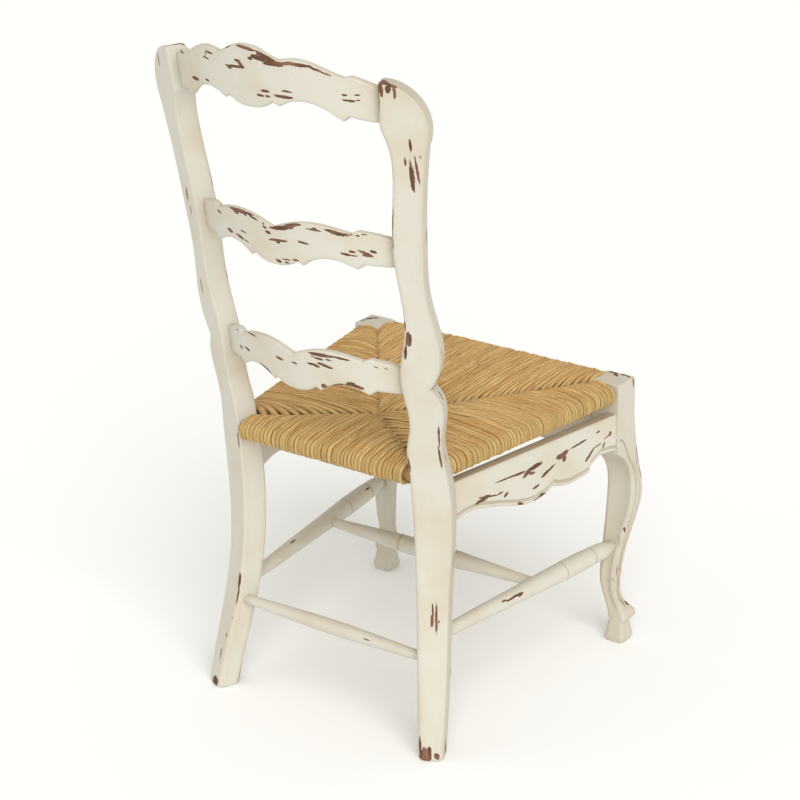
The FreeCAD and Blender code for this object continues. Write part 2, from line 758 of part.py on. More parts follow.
side_blank = side_stretcher()
cross_socket = stretcher_tenons(*cross_run, cross_stretcher_end, cross_tenon, fit_gap)
pieces["stretcher_left"] = side_blank.cut(cross_socket)
pieces["stretcher_cross"] = spindle(*cross_run, cross_stretcher_end, cross_stretcher_swell,
                                    cross_tenon, (0.36, 0.64), (side_blank, mirrored(side_blank)))
pieces["stretcher_rear"] = spindle(*rear_stretcher_run, rear_stretcher_end, rear_stretcher_swell,
                                   stretcher_tenon, None, wood_blanks)

for name in ("rear_post", "front_leg", "apron", "stretcher"):
    pieces[name + "_right"] = mirrored(pieces[name + "_left"])

# The origin goes under the middle of the chair's box.
whole = Part.makeCompound(list(pieces.values())).optimalBoundingBox(False, False)
shift = Vector(-whole.Center.x, -whole.Center.y, -whole.ZMin)
for name, piece in pieces.items():
    piece.translate(shift)
    piece.exportStep("parts/" + name + ".step")
    print(name, len(piece.Solids), "solids", round(piece.Volume / 1000.0, 1), "cm3", piece.isValid())
print("size", [round(side, 1) for side in (whole.XLength, whole.YLength, whole.ZLength)])
print("shift", shift)
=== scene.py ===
import math

import bpy
import numpy as np
from mathutils import Matrix, Vector


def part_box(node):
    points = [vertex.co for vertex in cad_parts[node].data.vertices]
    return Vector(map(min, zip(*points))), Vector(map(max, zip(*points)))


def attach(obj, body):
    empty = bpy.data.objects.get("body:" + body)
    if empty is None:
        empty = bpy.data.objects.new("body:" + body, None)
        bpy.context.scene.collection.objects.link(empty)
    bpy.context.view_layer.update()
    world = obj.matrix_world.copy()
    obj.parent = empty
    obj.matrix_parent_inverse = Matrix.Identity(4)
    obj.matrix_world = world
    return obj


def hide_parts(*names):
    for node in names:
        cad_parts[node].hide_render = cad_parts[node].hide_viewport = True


# A painted ladder-back chair with a rush seat. Shapes are worked out in millimetres on axes whose
# y = 0 is the middle of the front leg blocks, and go into the frame, in metres, in meshPiece().
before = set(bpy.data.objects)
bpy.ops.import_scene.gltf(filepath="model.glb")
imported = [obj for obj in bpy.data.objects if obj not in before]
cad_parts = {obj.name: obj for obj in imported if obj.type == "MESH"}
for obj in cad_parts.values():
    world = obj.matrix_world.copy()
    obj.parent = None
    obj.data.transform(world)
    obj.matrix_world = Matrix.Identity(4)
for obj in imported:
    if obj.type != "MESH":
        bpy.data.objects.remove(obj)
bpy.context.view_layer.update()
mm = 0.001
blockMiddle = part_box("apron_front")[1].y / mm - 1.0
level = {
    "seat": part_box("front_leg_left")[1].z / mm,
    "postTop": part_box("rear_post_left")[1].z / mm,
}
backRise = level["postTop"] - level["seat"]
slatPlace = {"lowerShare": 0.2215, "middleShare": 0.5648, "topDrop": 24.0}
level["lower"] = level["seat"] + slatPlace["lowerShare"] * backRise
level["middle"] = level["seat"] + slatPlace["middleShare"] * backRise
level["top"] = level["postTop"] - slatPlace["topDrop"]
randomSeed = 7
rng = np.random.default_rng(randomSeed)

# The camera comes first: behind the chair, on the sitter's right, looking down.
camera = {"azimuth": 216.865, "elevation": 22.15, "roll": -1.26, "distance": 3.7168, "lens": 109.9,
          "target": (0.0, -0.0165, 0.460), "shift": (0.0024, -0.0032), "clip": 60.0}


# The camera's back axis points from the target to the camera; roll turns it about that axis.
def makeCamera():
    turn, lift, roll = (math.radians(camera[key]) for key in ("azimuth", "elevation", "roll"))
    back = Vector((math.sin(turn) * math.cos(lift), -math.cos(turn) * math.cos(lift), math.sin(lift)))
    right = Vector((math.cos(turn), math.sin(turn), 0.0))
    up = back.cross(right)
    across = right * math.cos(roll) + up * math.sin(roll)
    above = up * math.cos(roll) - right * math.sin(roll)
    lens = bpy.data.cameras.new("studioCamera")
    lens.lens = camera["lens"]
    lens.shift_x, lens.shift_y = camera["shift"]
    lens.clip_end = camera["clip"]
    eye = bpy.data.objects.new("studioCamera", lens)
    place = Vector(camera["target"]) + back * camera["distance"]
    eye.matrix_world = Matrix.Translation(place) @ Matrix((across, above, back)).transposed().to_4x4()
    bpy.context.scene.collection.objects.link(eye)
    bpy.context.scene.camera = eye


makeCamera()
print("camera placed")


# Shader maths: a Wire is a node's output, and sums or products of wires add Math nodes.
class Wire:
    def __init__(self, shader, output):
        self.shader = shader
        self.output = output

    def __add__(self, other):
        return self.shader.math("ADD", self, other)

    def __sub__(self, other):
        return self.shader.math("SUBTRACT", self, other)

    def __rsub__(self, other):
        return self.shader.math("SUBTRACT", other, self)

    def __mul__(self, other):
        return self.shader.math("MULTIPLY", self, other)

    def clamped(self):
        return self.shader.math("ADD", self, 0.0, clamp=True)

    # 0 below the edge, then up to 1 at that slope.
    def above(self, edge, slope):
        return self.shader.math("MULTIPLY", self - edge, slope, clamp=True)

    def larger(self, other):
        return self.shader.math("MAXIMUM", self, other)


class Shader:
    def __init__(self, name):
        self.material = bpy.data.materials.new(name)
        self.material.use_nodes = True
        self.tree = self.material.node_tree
        self.tree.nodes.clear()

    # A node of a type; its settings go first, then the values or wires of its sockets.
    def node(self, kind, settings, sockets):
        made = self.tree.nodes.new("ShaderNode" + kind)
        for key, value in settings.items():
            setattr(made, key, value)
        for key, value in sockets.items():
            if isinstance(value, Wire):
                self.tree.links.new(value.output, made.inputs[key])
            else:
                made.inputs[key].default_value = value
        return made

    def math(self, operation, first, second, clamp=False):
        made = self.node("Math", {"operation": operation, "use_clamp": clamp}, {0: first, 1: second})
        return Wire(self, made.outputs[0])

    def objectPlace(self):
        return Wire(self, self.node("TexCoord", {}, {}).outputs["Object"])

    def attribute(self, name, output="Fac"):
        made = self.node("Attribute", {"attribute_name": name}, {})
        return Wire(self, made.outputs[output])

    def stretched(self, vector, scale):
        made = self.node("VectorMath", {"operation": "MULTIPLY"}, {0: vector, 1: scale})
        return Wire(self, made.outputs[0])

    def noise(self, vector, scale, detail=3.0, rough=0.5):
        made = self.node("TexNoise", {}, {"Vector": vector, "Scale": scale, "Detail": detail,
                                          "Roughness": rough})
        return Wire(self, made.outputs[0])

    # Colours: the first where amount is 0, the second where it is 1.
    def mix(self, amount, first, second):
        made = self.node("Mix", {"data_type": "RGBA"}, {0: amount, 6: first, 7: second})
        return Wire(self, made.outputs[2])

    def finish(self, colour, roughness, height, depth, extras):
        bump = self.node("Bump", {}, {"Height": height, "Strength": 1.0, "Distance": depth})
        sockets = {"Base Color": colour, "Roughness": roughness, "Normal": Wire(self, bump.outputs[0])}
        surface = self.node("BsdfPrincipled", {}, {**sockets, **extras})
        out = self.tree.nodes.new("ShaderNodeOutputMaterial")
        self.tree.links.new(surface.outputs[0], out.inputs[0])
        return self.material


# glaze is the brown of the glaze in the carvings, and it is also laid on as painted shade.
paint = {"cream": (0.59, 0.572, 0.500, 1.0), "warm": (0.545, 0.468, 0.345, 1.0),
         "glaze": (0.30, 0.215, 0.115, 1.0), "bare": (0.105, 0.043, 0.021, 1.0),
         "bareLight": (0.235, 0.108, 0.058, 1.0), "rim": (0.50, 0.40, 0.29, 1.0)}
# Each noise is its scale, detail and roughness.
paintNoise = {"ragged": (150.0, 5.0, 0.65), "frayed": (420.0, 3.0, 0.6), "patches": (6.0, 2.0, 0.5),
              "specks": (34.0, 4.0, 0.6), "brush": (210.0, 2.0, 0.6), "cloud": (12.0, 3.0, 0.5),
              "wood": (90.0, 4.0, 0.5), "lumps": (60.0, 2.0, 0.5)}
# Wear has amounts that add up, then thresholds: the amount where it starts, and its slope from there.
wearing = {"tearing": 0.75, "fraying": 0.55, "arris": 0.66, "patchy": 1.15, "streaky": 1.05,
           "chip": (0.31, 14.0), "rub": (0.985, 8.0), "speck": (0.80, 40.0), "chipRim": (0.18, 6.0),
           "rubRim": (0.84, 4.0), "cloud": (0.44, 2.4), "wood": (0.45, 4.0)}
paintDepth = {"brush": 0.10, "lumps": 0.35, "chip": 0.55, "bump": 0.0009}


# Cream paint over brown wood. The piece's chip, edge and dip attributes say where it is chipped, where
# its arrises are and where it is darkened with the glaze colour: real glaze in its carved lines, painted
# shade on faces turned from the light, under the seat and where parts meet, and darker bits at the posts'
# notches and tops. Torn is the chip plus noise stretched along the grain, rubbed is the arris plus broad
# patches and the same noise, and the wood shows where either is high enough.
def distressedPaint(name, grain):
    s = Shader(name)
    place = s.objectPlace()
    along = s.stretched(place, grain)
    chip, edge, dip = (s.attribute(key) for key in ("chip", "edge", "dip"))
    ragged = s.noise(along, *paintNoise["ragged"]) - 0.5
    frayed = s.noise(along, *paintNoise["frayed"]) - 0.5
    patches = s.noise(place, *paintNoise["patches"]) - 0.5
    specks = s.noise(along, *paintNoise["specks"])
    brush = s.noise(s.stretched(along, (2.0, 2.0, 2.0)), *paintNoise["brush"])
    torn = chip + ragged * wearing["tearing"] + frayed * wearing["fraying"]
    rubbed = edge * wearing["arris"] + patches * wearing["patchy"] + ragged * wearing["streaky"]
    wear = torn.above(*wearing["chip"]).larger(rubbed.above(*wearing["rub"]))
    wear = wear.larger(specks.above(*wearing["speck"]))
    rim = torn.above(*wearing["chipRim"]).larger(rubbed.above(*wearing["rubRim"]) * 0.7)
    cloud = s.noise(place, *paintNoise["cloud"]).above(*wearing["cloud"])
    coat = s.mix(cloud, paint["cream"], paint["warm"])
    coat = s.mix((brush - 0.5) * 0.5 + 0.08, coat, paint["warm"])
    coat = s.mix(rim * 0.30, coat, paint["rim"])
    # Glaze colour where dip is high: real glaze in the carvings, and painted shade on shaded faces and
    # joints.
    coat = s.mix(dip * 0.75 + edge * 0.06, coat, paint["glaze"])
    figure = s.noise(along, *paintNoise["wood"]).above(*wearing["wood"])
    colour = s.mix(wear, coat, s.mix(figure, paint["bare"], paint["bareLight"]))
    lumps = s.noise(place, *paintNoise["lumps"])
    height = brush * paintDepth["brush"] + lumps * paintDepth["lumps"] - wear * paintDepth["chip"]
    return s.finish(colour, wear * 0.25 + brush * 0.12 + 0.40, height, paintDepth["bump"],
                    {"Specular IOR Level": 0.42})


# gap is a dark brown laid on as painted shade between the cords.
rushColours = {"gold": (0.64, 0.360, 0.115, 1.0), "straw": (0.84, 0.575, 0.245, 1.0),
               "brown": (0.32, 0.155, 0.050, 1.0), "green": (0.47, 0.345, 0.125, 1.0),
               "gap": (0.085, 0.042, 0.015, 1.0)}
# Each noise is its stretch, scale, detail and roughness.
rushNoise = {"leaves": ((1.5, 1.5, 0.8), 1.0, 3.0, 0.55), "hairs": ((4.2, 4.2, 1.3), 1.4, 3.0, 0.6),
             "blotches": ((0.4, 0.4, 1.2), 0.8, 2.0, 0.5)}
# How much of each colour there is.
rushShare = {"green": 0.55, "brownLeaf": 0.8, "strawHair": 0.55, "brownHair": 0.65, "rimGreen": 0.45,
             "gap": 0.85}


# Twisted rush. fibre runs round and along each cord, tone is its own shade, deep is painted shade where
# it goes down between its neighbours and into the seam, rim is where it goes round a rail. Straw grows
# with the cord's tone and with broad leaf noise, then darker leaves and fine light and dark hairs are
# laid over it, and the dark gap colour paints the shade that deep gives.
def rushCord(name):
    s = Shader(name)
    fibre = s.attribute("fibre", "Vector")
    tone, deep, rim = (s.attribute(key) for key in ("tone", "deep", "rim"))
    leaves, hairs, blotches = (s.noise(s.stretched(fibre, rushNoise[key][0]), *rushNoise[key][1:])
                               for key in ("leaves", "hairs", "blotches"))
    lights = (tone * 0.8 + leaves * 2.4 - 1.15).clamped()
    colour = s.mix(lights, rushColours["gold"], rushColours["straw"])
    # The last mix lays the gap colour as painted shade where deep is high.
    for amount, shade in (
            (blotches.above(0.54, 4.0) * rushShare["green"], "green"),
            ((0.46 - leaves).above(0.0, 7.0) * rushShare["brownLeaf"], "brown"),
            (hairs.above(0.56, 7.0) * rushShare["strawHair"], "straw"),
            ((0.44 - hairs).above(0.0, 8.0) * rushShare["brownHair"], "brown"),
            (rim * rushShare["rimGreen"], "green"),
            (deep * rushShare["gap"], "gap")):
        colour = s.mix(amount, colour, rushColours[shade])
    return s.finish(colour, hairs * 0.25 + 0.45, leaves * 1.0 + hairs * 0.6, 0.0019,
                    {"Specular IOR Level": 0.35})


# Hidden wood or loose rush: two shades of one colour in streaks along the grain.
def plainFibre(name, colour, darker, grain):
    s = Shader(name)
    streaks = s.noise(s.stretched(s.objectPlace(), grain), 60.0, 4.0, 0.6)
    shade = s.mix(streaks.above(0.35, 3.0), darker, colour)
    return s.finish(shade, streaks * 0.2 + 0.6, streaks, 0.0008, {})


# The painted finishes differ in the way the grain runs: up, across the chair or from back to front.
grainStretch = 0.22
hidden = {"rail": ((0.34, 0.20, 0.08, 1.0), (0.20, 0.11, 0.04, 1.0), (1.0, 1.0, 1.0)),
          "stuffing": ((0.46, 0.28, 0.10, 1.0), (0.25, 0.14, 0.05, 1.0), (1.0, 0.3, 1.0))}
finishes = {
    "upright": distressedPaint("paintUpright", (1.0, 1.0, grainStretch)),
    "across": distressedPaint("paintAcross", (grainStretch, 1.0, 1.0)),
    "deep": distressedPaint("paintDeep", (1.0, grainStretch, 1.0)),
    "rush": rushCord("goldenRush"),
    "rail": plainFibre("bareRail", *hidden["rail"]),
    "stuffing": plainFibre("looseRush", *hidden["stuffing"]),
}
print("finishes made")


# Natural cubic spline through the points, with the length of the chords as its parameter: between two
# points each coordinate is the straight mix of both, plus the bends there times a cubic that is 0 at
# both.
def smoothLine(points, count=120):
    p = np.array(points, float)
    at = np.r_[0.0, np.cumsum(np.hypot(*np.diff(p, axis=0).T))]
    gap = np.diff(at)
    n = len(at)
    system = np.eye(n)
    load = np.zeros((n, 2))
    i = np.arange(1, n - 1)
    system[i, i - 1] = gap[:-1]
    system[i, i] = 2.0 * (gap[:-1] + gap[1:])
    system[i, i + 1] = gap[1:]
    load[1:-1] = 6.0 * np.diff(np.diff(p, axis=0) / gap[:, None], axis=0)
    bend = np.linalg.solve(system, load)
    s = np.linspace(0.0, at[-1], count)
    k = np.clip(np.searchsorted(at, s) - 1, 0, n - 2)
    before = ((at[k + 1] - s) / gap[k])[:, None]
    after = 1.0 - before
    curved = (before ** 3 - before) * bend[k] + (after ** 3 - after) * bend[k + 1]
    return before * p[k] + after * p[k + 1] + curved * (gap[k] ** 2)[:, None] / 6.0


# Circle through three points, from the first to the last.
def arcLine(a, b, c, count=30):
    (ax, ay), (bx, by), (cx, cy) = a, b, c
    d = 2.0 * (ax * (by - cy) + bx * (cy - ay) + cx * (ay - by))
    a2, b2, c2 = ax * ax + ay * ay, bx * bx + by * by, cx * cx + cy * cy
    middle = np.array([(a2 * (by - cy) + b2 * (cy - ay) + c2 * (ay - by)) / d,
                       (a2 * (cx - bx) + b2 * (ax - cx) + c2 * (bx - ax)) / d])
    angles = np.unwrap([math.atan2(y - middle[1], x - middle[0]) for x, y in (a, b, c)])
    turn = np.linspace(angles[0], angles[2], count)[:, None]
    radius = math.hypot(ax - middle[0], ay - middle[1])
    return middle + radius * np.hstack([np.cos(turn), np.sin(turn)])


# A line made of steps, each starting where the last one ended: one point is straight, two are an arc
# through the first to the second, three or more a smooth curve.
def traced(start, *steps):
    line = np.array([start], float)
    for step in steps:
        here = tuple(line[-1])
        if len(step) == 1:
            added = np.array(step, float)
        elif len(step) == 2:
            added = arcLine(here, *step)[1:]
        else:
            added = smoothLine([here] + list(step))[1:]
        line = np.vstack([line, added])
    return line


# First coordinate of a rising line at a height.
def across(line, height):
    return np.interp(height, line[:, 1], line[:, 0])


# Second coordinate of a line at a distance along.
def rise(line, along):
    return np.interp(along, line[:, 0], line[:, 1])


# A rounded rectangle for each row. Points stand at fixed distances from both ends of a side, with spare
# ones spread between. Gives points, and each point's distance from the start and the end of its side, and
# the side (0 to 3, anticlockwise from the lowest corner; corners are -1).
def roundedRings(low, high, radius, fixed, spare, corner=3):
    size = high - low
    radius = np.minimum(radius, 0.49 * size.min(axis=1))[:, None]
    corners = np.stack([low, np.stack([high[:, 0], low[:, 1]], 1), high,
                        np.stack([low[:, 0], high[:, 1]], 1)])
    ways = np.array([(1.0, 0.0), (0.0, 1.0), (-1.0, 0.0), (0.0, -1.0)])
    near = np.array(fixed, float)
    points, fromStart, fromEnd, sides = [], [], [], []
    for side in range(4):
        way = ways[side]
        out = np.array([way[1], -way[0]])
        length = np.maximum(size[:, side % 2][:, None] - 2.0 * radius, 0.001)
        close = near * np.minimum(1.0, 0.42 * length / near[-1])
        middle = close[:, -1:] + (length - 2.0 * close[:, -1:]) * np.linspace(0, 1, spare + 2)[1:-1]
        d = np.hstack([0.0 * length, close, middle, length - close[:, ::-1], length])
        points.append(corners[side][:, None] + way * (radius + d)[..., None])
        fromStart.append(d)
        fromEnd.append(length - d)
        sides += [side] * d.shape[1]
        turn = np.radians(np.linspace(0, 90, corner + 2)[1:-1])[None, :, None]
        centre = (corners[(side + 1) % 4] - way * radius - out * radius)[:, None]
        points.append(centre + radius[..., None] * (np.cos(turn) * out + np.sin(turn) * way))
        fromStart.append(np.zeros((len(low), corner)))
        fromEnd.append(np.zeros((len(low), corner)))
        sides += [-1] * corner
    return np.hstack(points), np.hstack(fromStart), np.hstack(fromEnd), np.array(sides)


# Shapes of the fields: the power that rounds a groove's bottom, the width of a worn arris, and how far
# a chip's field reaches beyond its outline. Faces that meet more sharply than the angle stay creased.
surface = {"groovePower": 0.7, "arrisWidth": 2.2, "chipReach": 1.5, "creaseAngle": 40.0}


# 1 at each place, falling to 0 at half a groove's width from it.
def groove(distance, places, half):
    power = surface["groovePower"]
    return sum(np.clip(1.0 - np.abs(distance - place) / half, 0.0, 1.0) ** power for place in places)


# 1 on a drawn line, falling to 0 at half a groove's width from it.
def alongLine(u, v, line, half):
    gap = np.full(u.shape, 1e9)
    for pu, pv in line:
        gap = np.minimum(gap, (u - pu) ** 2 + (v - pv) ** 2)
    return np.clip(1.0 - np.sqrt(gap) / half, 0.0, 1.0) ** surface["groovePower"]


# A chip is (u, v, length, width, degrees): an ellipse turned by the angle. The field is 1 in its middle,
# 1/3 at its rim and 0 at chipReach times its size, and where chips meet the larger one counts.
def chipField(u, v, chips):
    field = np.zeros(np.broadcast(u, v).shape)
    for cu, cv, length, width, angle in chips:
        c, s = math.cos(math.radians(angle)), math.sin(math.radians(angle))
        du, dv = (u - cu) * c + (v - cv) * s, (v - cv) * c - (u - cu) * s
        far = np.hypot(2.0 * du / length, 2.0 * dv / width)
        field = np.maximum(field, 1.0 - far / surface["chipReach"])
    return np.clip(field, 0.0, 1.0)


# 1 on an arris, falling away over a few millimetres as an exponential of the distance.
def worn(fromStart, fromEnd):
    return np.exp(-np.minimum(fromStart, fromEnd) / surface["arrisWidth"])


# Rings of points, joined into a closed skin with a fan over each end. rings is (skins, rows, around, 3):
# several skins make one piece. Fields are values at the points. The signed volume of the tetrahedra from
# the origin to the faces is negative when the faces look inwards, and then they are turned round.
def meshPiece(name, rings, fields, finish):
    if rings.ndim == 3:
        rings = rings[None]
        fields = {key: value[None] for key, value in fields.items()}
    skins, rows, around = rings.shape[:3]
    ends = rings[:, (0, -1)].mean(axis=2)
    verts = np.concatenate([rings.reshape(skins, -1, 3), ends], axis=1)
    each = verts.shape[1]
    j = np.arange(around)
    k = (j + 1) % around
    i = (np.arange(rows - 1) * around)[:, None]
    quads = np.stack([i + j, i + k, i + around + k, i + around + j], -1).reshape(-1, 4)
    last = (rows - 1) * around
    fans = np.concatenate([np.stack([k, j, 0 * j + each - 2], -1),
                           np.stack([last + j, last + k, 0 * j + each - 1], -1)])
    skin = (np.arange(skins) * each)[:, None, None]
    quads = (quads[None] + skin).reshape(-1, 4)
    fans = (fans[None] + skin).reshape(-1, 3)
    verts = verts.reshape(-1, 3)
    a, b, c, d = (verts[quads[:, n]] for n in range(4))
    inside = np.einsum("ij,ij->", a, np.cross(b, c)) + np.einsum("ij,ij->", a, np.cross(c, d))
    if inside < 0.0:
        quads, fans = quads[:, ::-1], fans[:, ::-1]
    mesh = bpy.data.meshes.new(name)
    mesh.vertices.add(len(verts))
    mesh.vertices.foreach_set("co", ((verts + (0.0, blockMiddle, 0.0)) * mm).ravel())
    mesh.loops.add(quads.size + fans.size)
    mesh.loops.foreach_set("vertex_index", np.concatenate([quads.ravel(), fans.ravel()]).astype(np.int32))
    mesh.polygons.add(len(quads) + len(fans))
    starts = np.concatenate([np.arange(len(quads)) * 4, quads.size + np.arange(len(fans)) * 3])
    mesh.polygons.foreach_set("loop_start", starts.astype(np.int32))
    mesh.update(calc_edges=True)
    mesh.validate()
    mesh.shade_smooth()
    mesh.set_sharp_from_angle(angle=math.radians(surface["creaseAngle"]))
    for key, value in fields.items():
        vector = value.ndim == rings.ndim
        tail = (3,) if vector else ()
        flat = value.reshape((skins, -1) + tail)
        caps = value[:, (0, -1)].mean(axis=2)
        full = np.concatenate([flat, caps], axis=1).astype(np.float32)
        kind, slot = ("FLOAT_VECTOR", "vector") if vector else ("FLOAT", "value")
        mesh.attributes.new(key, kind, "POINT").data.foreach_set(slot, full.ravel())
    mesh.materials.append(finishes[finish])
    piece = bpy.data.objects.new(name, mesh)
    bpy.context.scene.collection.objects.link(piece)
    return piece


# The piece moves with the chair and takes the place of its CAD nodes. Its slot argument is not used.
def standIn(piece, slot, *nodes):
    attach(piece, "root")
    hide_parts(*nodes)


def mirroredX(points):
    return points * (-1.0, 1.0, 1.0)


# Rear posts: boards sawn to a waved outline across the face and raked from the side.
post = {"turn": 25.0, "halfGap": 159.0, "depth": 443.0, "seatWidth": 57.5, "footWidth": 40.0,
        "waist": 42.0, "thickness": 36.0, "kick": 46.0, "slope": 0.1475, "round": 4.5, "footRound": 4.0,
        "row": 2.0, "crownRows": 36, "crown": 55.0, "spare": 24}
# Painted shade on the posts' outer side faces; darker along the notch's crease and at the very top.
postWear = {"outerPaintedShade": 0.18, "topDarkening": 0.14, "notchDarkening": 0.6, "wrap": 1.4}
turn = math.radians(post["turn"])
outward = np.array([math.cos(turn), -math.sin(turn), 0.0])
backward = np.array([math.sin(turn), math.cos(turn), 0.0])


# From the left post's own axes, across its face and back, to the chair's.
def postPlace(a, b, z):
    origin = np.array([post["halfGap"], post["depth"], 0.0])
    return origin + np.multiply.outer(a, outward) + np.multiply.outer(b, backward) \
        + np.multiply.outer(z, np.array([0.0, 0.0, 1.0]))


# The lines a post is sawn to, as heights from the floor: how far back its back and front faces are (the
# rake kicks back below the seat and leans back evenly above it), and how far across the face its inner
# and outer edges are. The outer edge has a notch just below the lower slat.
def postLines():
    seat, lower, middle, top = (level[key] for key in ("seat", "lower", "middle", "top"))
    kick, slope, wide = post["kick"], post["slope"], post["seatWidth"]
    rake = [(0.0, kick, 38.0), (0.13 * seat, 0.70 * kick, 37.5), (0.26 * seat, 0.36 * kick, 37.5),
            (0.43 * seat, 0.0, 38.0), (0.72 * seat, -8.8, 39.0), (seat, 0.0, post["thickness"]),
            (lower, slope * (lower - seat), 34.0), (middle, slope * (middle - seat), 35.0),
            (top - 50.0, slope * (top - 50.0 - seat), 34.0),
            (level["postTop"], slope * backRise, 32.0)]
    foot = wide - post["footWidth"] - 2.0
    inner = [(foot, 0.0), (0.56 * foot, 0.37 * seat), (0.40 * foot, 0.65 * seat), (0.0, seat),
             (-0.8, seat + 17.0), (5.0, lower - 72.0), (-4.3, lower + 8.0), (5.0, lower + 76.0),
             (-4.3, middle - 5.0), (0.5, top - 115.0), (-2.5, top - 71.0), (-12.5, top - 42.0)]
    notch = lower - 6.0
    waist = post["waist"] - 3.5
    outer = traced((wide - 3.5, 0.0),
                   [(wide - 1.5, 0.2 * seat), (wide, 0.55 * seat), (wide, seat - 18.0),
                    (wide - 6.5, seat + 31.0), (wide - 1.8, notch - 52.0), (wide - 5.0, notch - 20.0),
                    (wide - 16.5, notch)],
                   [(wide - 6.5, notch + 22.0), (wide - 1.8, notch + 58.0), (wide - 9.0, notch + 98.0),
                    (waist + 0.8, notch + 146.0), (waist, middle - 5.0), (waist + 2.5, top - 155.0),
                    (waist + 11.0, top - 70.0)],
                   [(waist - 3.0, level["postTop"] - 21.0), (-3.0, level["postTop"])])
    return {"back": smoothLine([(b, z) for z, b, t in rake], 300),
            "front": smoothLine([(b - t, z) for z, b, t in rake], 300),
            "inner": traced(inner[0], inner[1:], [(-13.0, top - 38.0)], [(-13.0, level["postTop"])]),
            "outer": outer, "notch": notch}


postLine = postLines()


# Adds rows that round the last edge of a piece: rows rise by radius * sin while the section draws in by
# radius * (1 - cos). Gives the rows and how far each section is drawn in.
def capped(rows, radius, low, high):
    swing = np.radians(np.linspace(8, 90, 7))
    bottom = low + radius[0] * (1.0 - np.sin(swing[::-1]))
    top = high - radius[1] * (1.0 - np.sin(swing))
    middle = rows[(rows > low + radius[0]) & (rows < high - radius[1])]
    z = np.concatenate([bottom, middle, top])
    drawn = np.concatenate([radius[0] * (1.0 - np.cos(swing[::-1])), 0.0 * middle,
                            radius[1] * (1.0 - np.cos(swing))])
    return z, drawn


# Chips on the posts as (u, v, length, width, degrees). On the back face u runs out from the inner edge
# and v is the height; on the inner and outer sides u runs back from the front face.
postChips = {
    "right": {
        "back": [
            (-12, 1015, 44, 2.6, 90), (-8, 1030, 20, 5.5, 97), (2, 1032, 14, 8, 90),
            (10.5, 1026, 21, 4.2, 90), (11, 1035, 14, 4, -10), (-1, 1038.5, 30, 3.4, 0),
            (28, 953, 19, 3.8, 95), (20, 928, 11, 2.8, 92), (28, 907, 46, 6.6, 95),
            (36, 913, 43, 3.6, 97), (41, 936, 6, 2, 92), (-3.4, 840, 54, 3.6, 86),
            (-4.6, 806, 18, 2.4, 88), (6, 681, 20, 4, 95), (11, 661, 24, 9, 90), (6, 640, 22, 5, 88),
            (48, 587, 11, 2.4, 40), (48, 508, 37, 3.2, 91), (48.6, 472, 38, 4.4, 97),
            (1.5, 457, 27, 5, 97),
            (32.8, 222, 40, 3.2, 91), (31.5, 209, 18, 3.8, 90), (38.3, 212, 50, 4, 91),
            (42, 209, 5, 2, 90),
            (15.5, 20, 38, 9, 90), (24, 12, 25, 10, 90), (32, 11, 25, 9, 88), (46, 9, 12, 8, -40),
            (24, 5, 26, 10, 0)],
        "inner": [(12, 1028, 14, 5, 100), (20, 836, 30, 3, 92), (8, 664, 26, 4, 88),
                  (14, 452, 20, 3, 95), (20, 250, 24, 4, 90), (9, 22, 30, 7, 92)],
        "outer": [(17, 566, 15, 3.2, 90), (20, 466, 15, 2.8, 92), (12, 812, 26, 4, 94),
                  (24, 640, 18, 3, 88), (18, 300, 34, 5, 92), (10, 120, 16, 3, 90), (22, 16, 22, 9, 90)]},
    "left": {
        "back": [
            (24, 1012, 26, 2.8, 95), (18, 812, 24, 5, 94), (16, 787, 17, 2.6, 94),
            (34, 662, 30, 2.8, 92),
            (6, 418, 28, 3.4, 93), (11.5, 181, 25, 8, 88), (10, 156, 36, 4.4, 92), (14, 118, 4, 2, 90),
            (22, 88, 10, 2.4, 92), (15, 66, 8, 2.2, 90), (28, 52, 22, 2.8, 88), (30, 8, 18, 18, 0)],
        "inner": [(7, 1029, 9, 3.6, 115), (3, 1024, 11, 3.6, 30), (2, 802, 11, 3.4, 10),
                  (4, 594, 7, 4, 30), (3, 571, 9, 4.4, 40), (16, 1026, 5, 3, 90)],
        "outer": [(14, 930, 22, 4, 93), (22, 702, 30, 4, 88), (12, 500, 18, 3, 92), (20, 330, 26, 4, 90),
                  (15, 60, 20, 4, 90), (12, 10, 18, 10, 10)]},
}


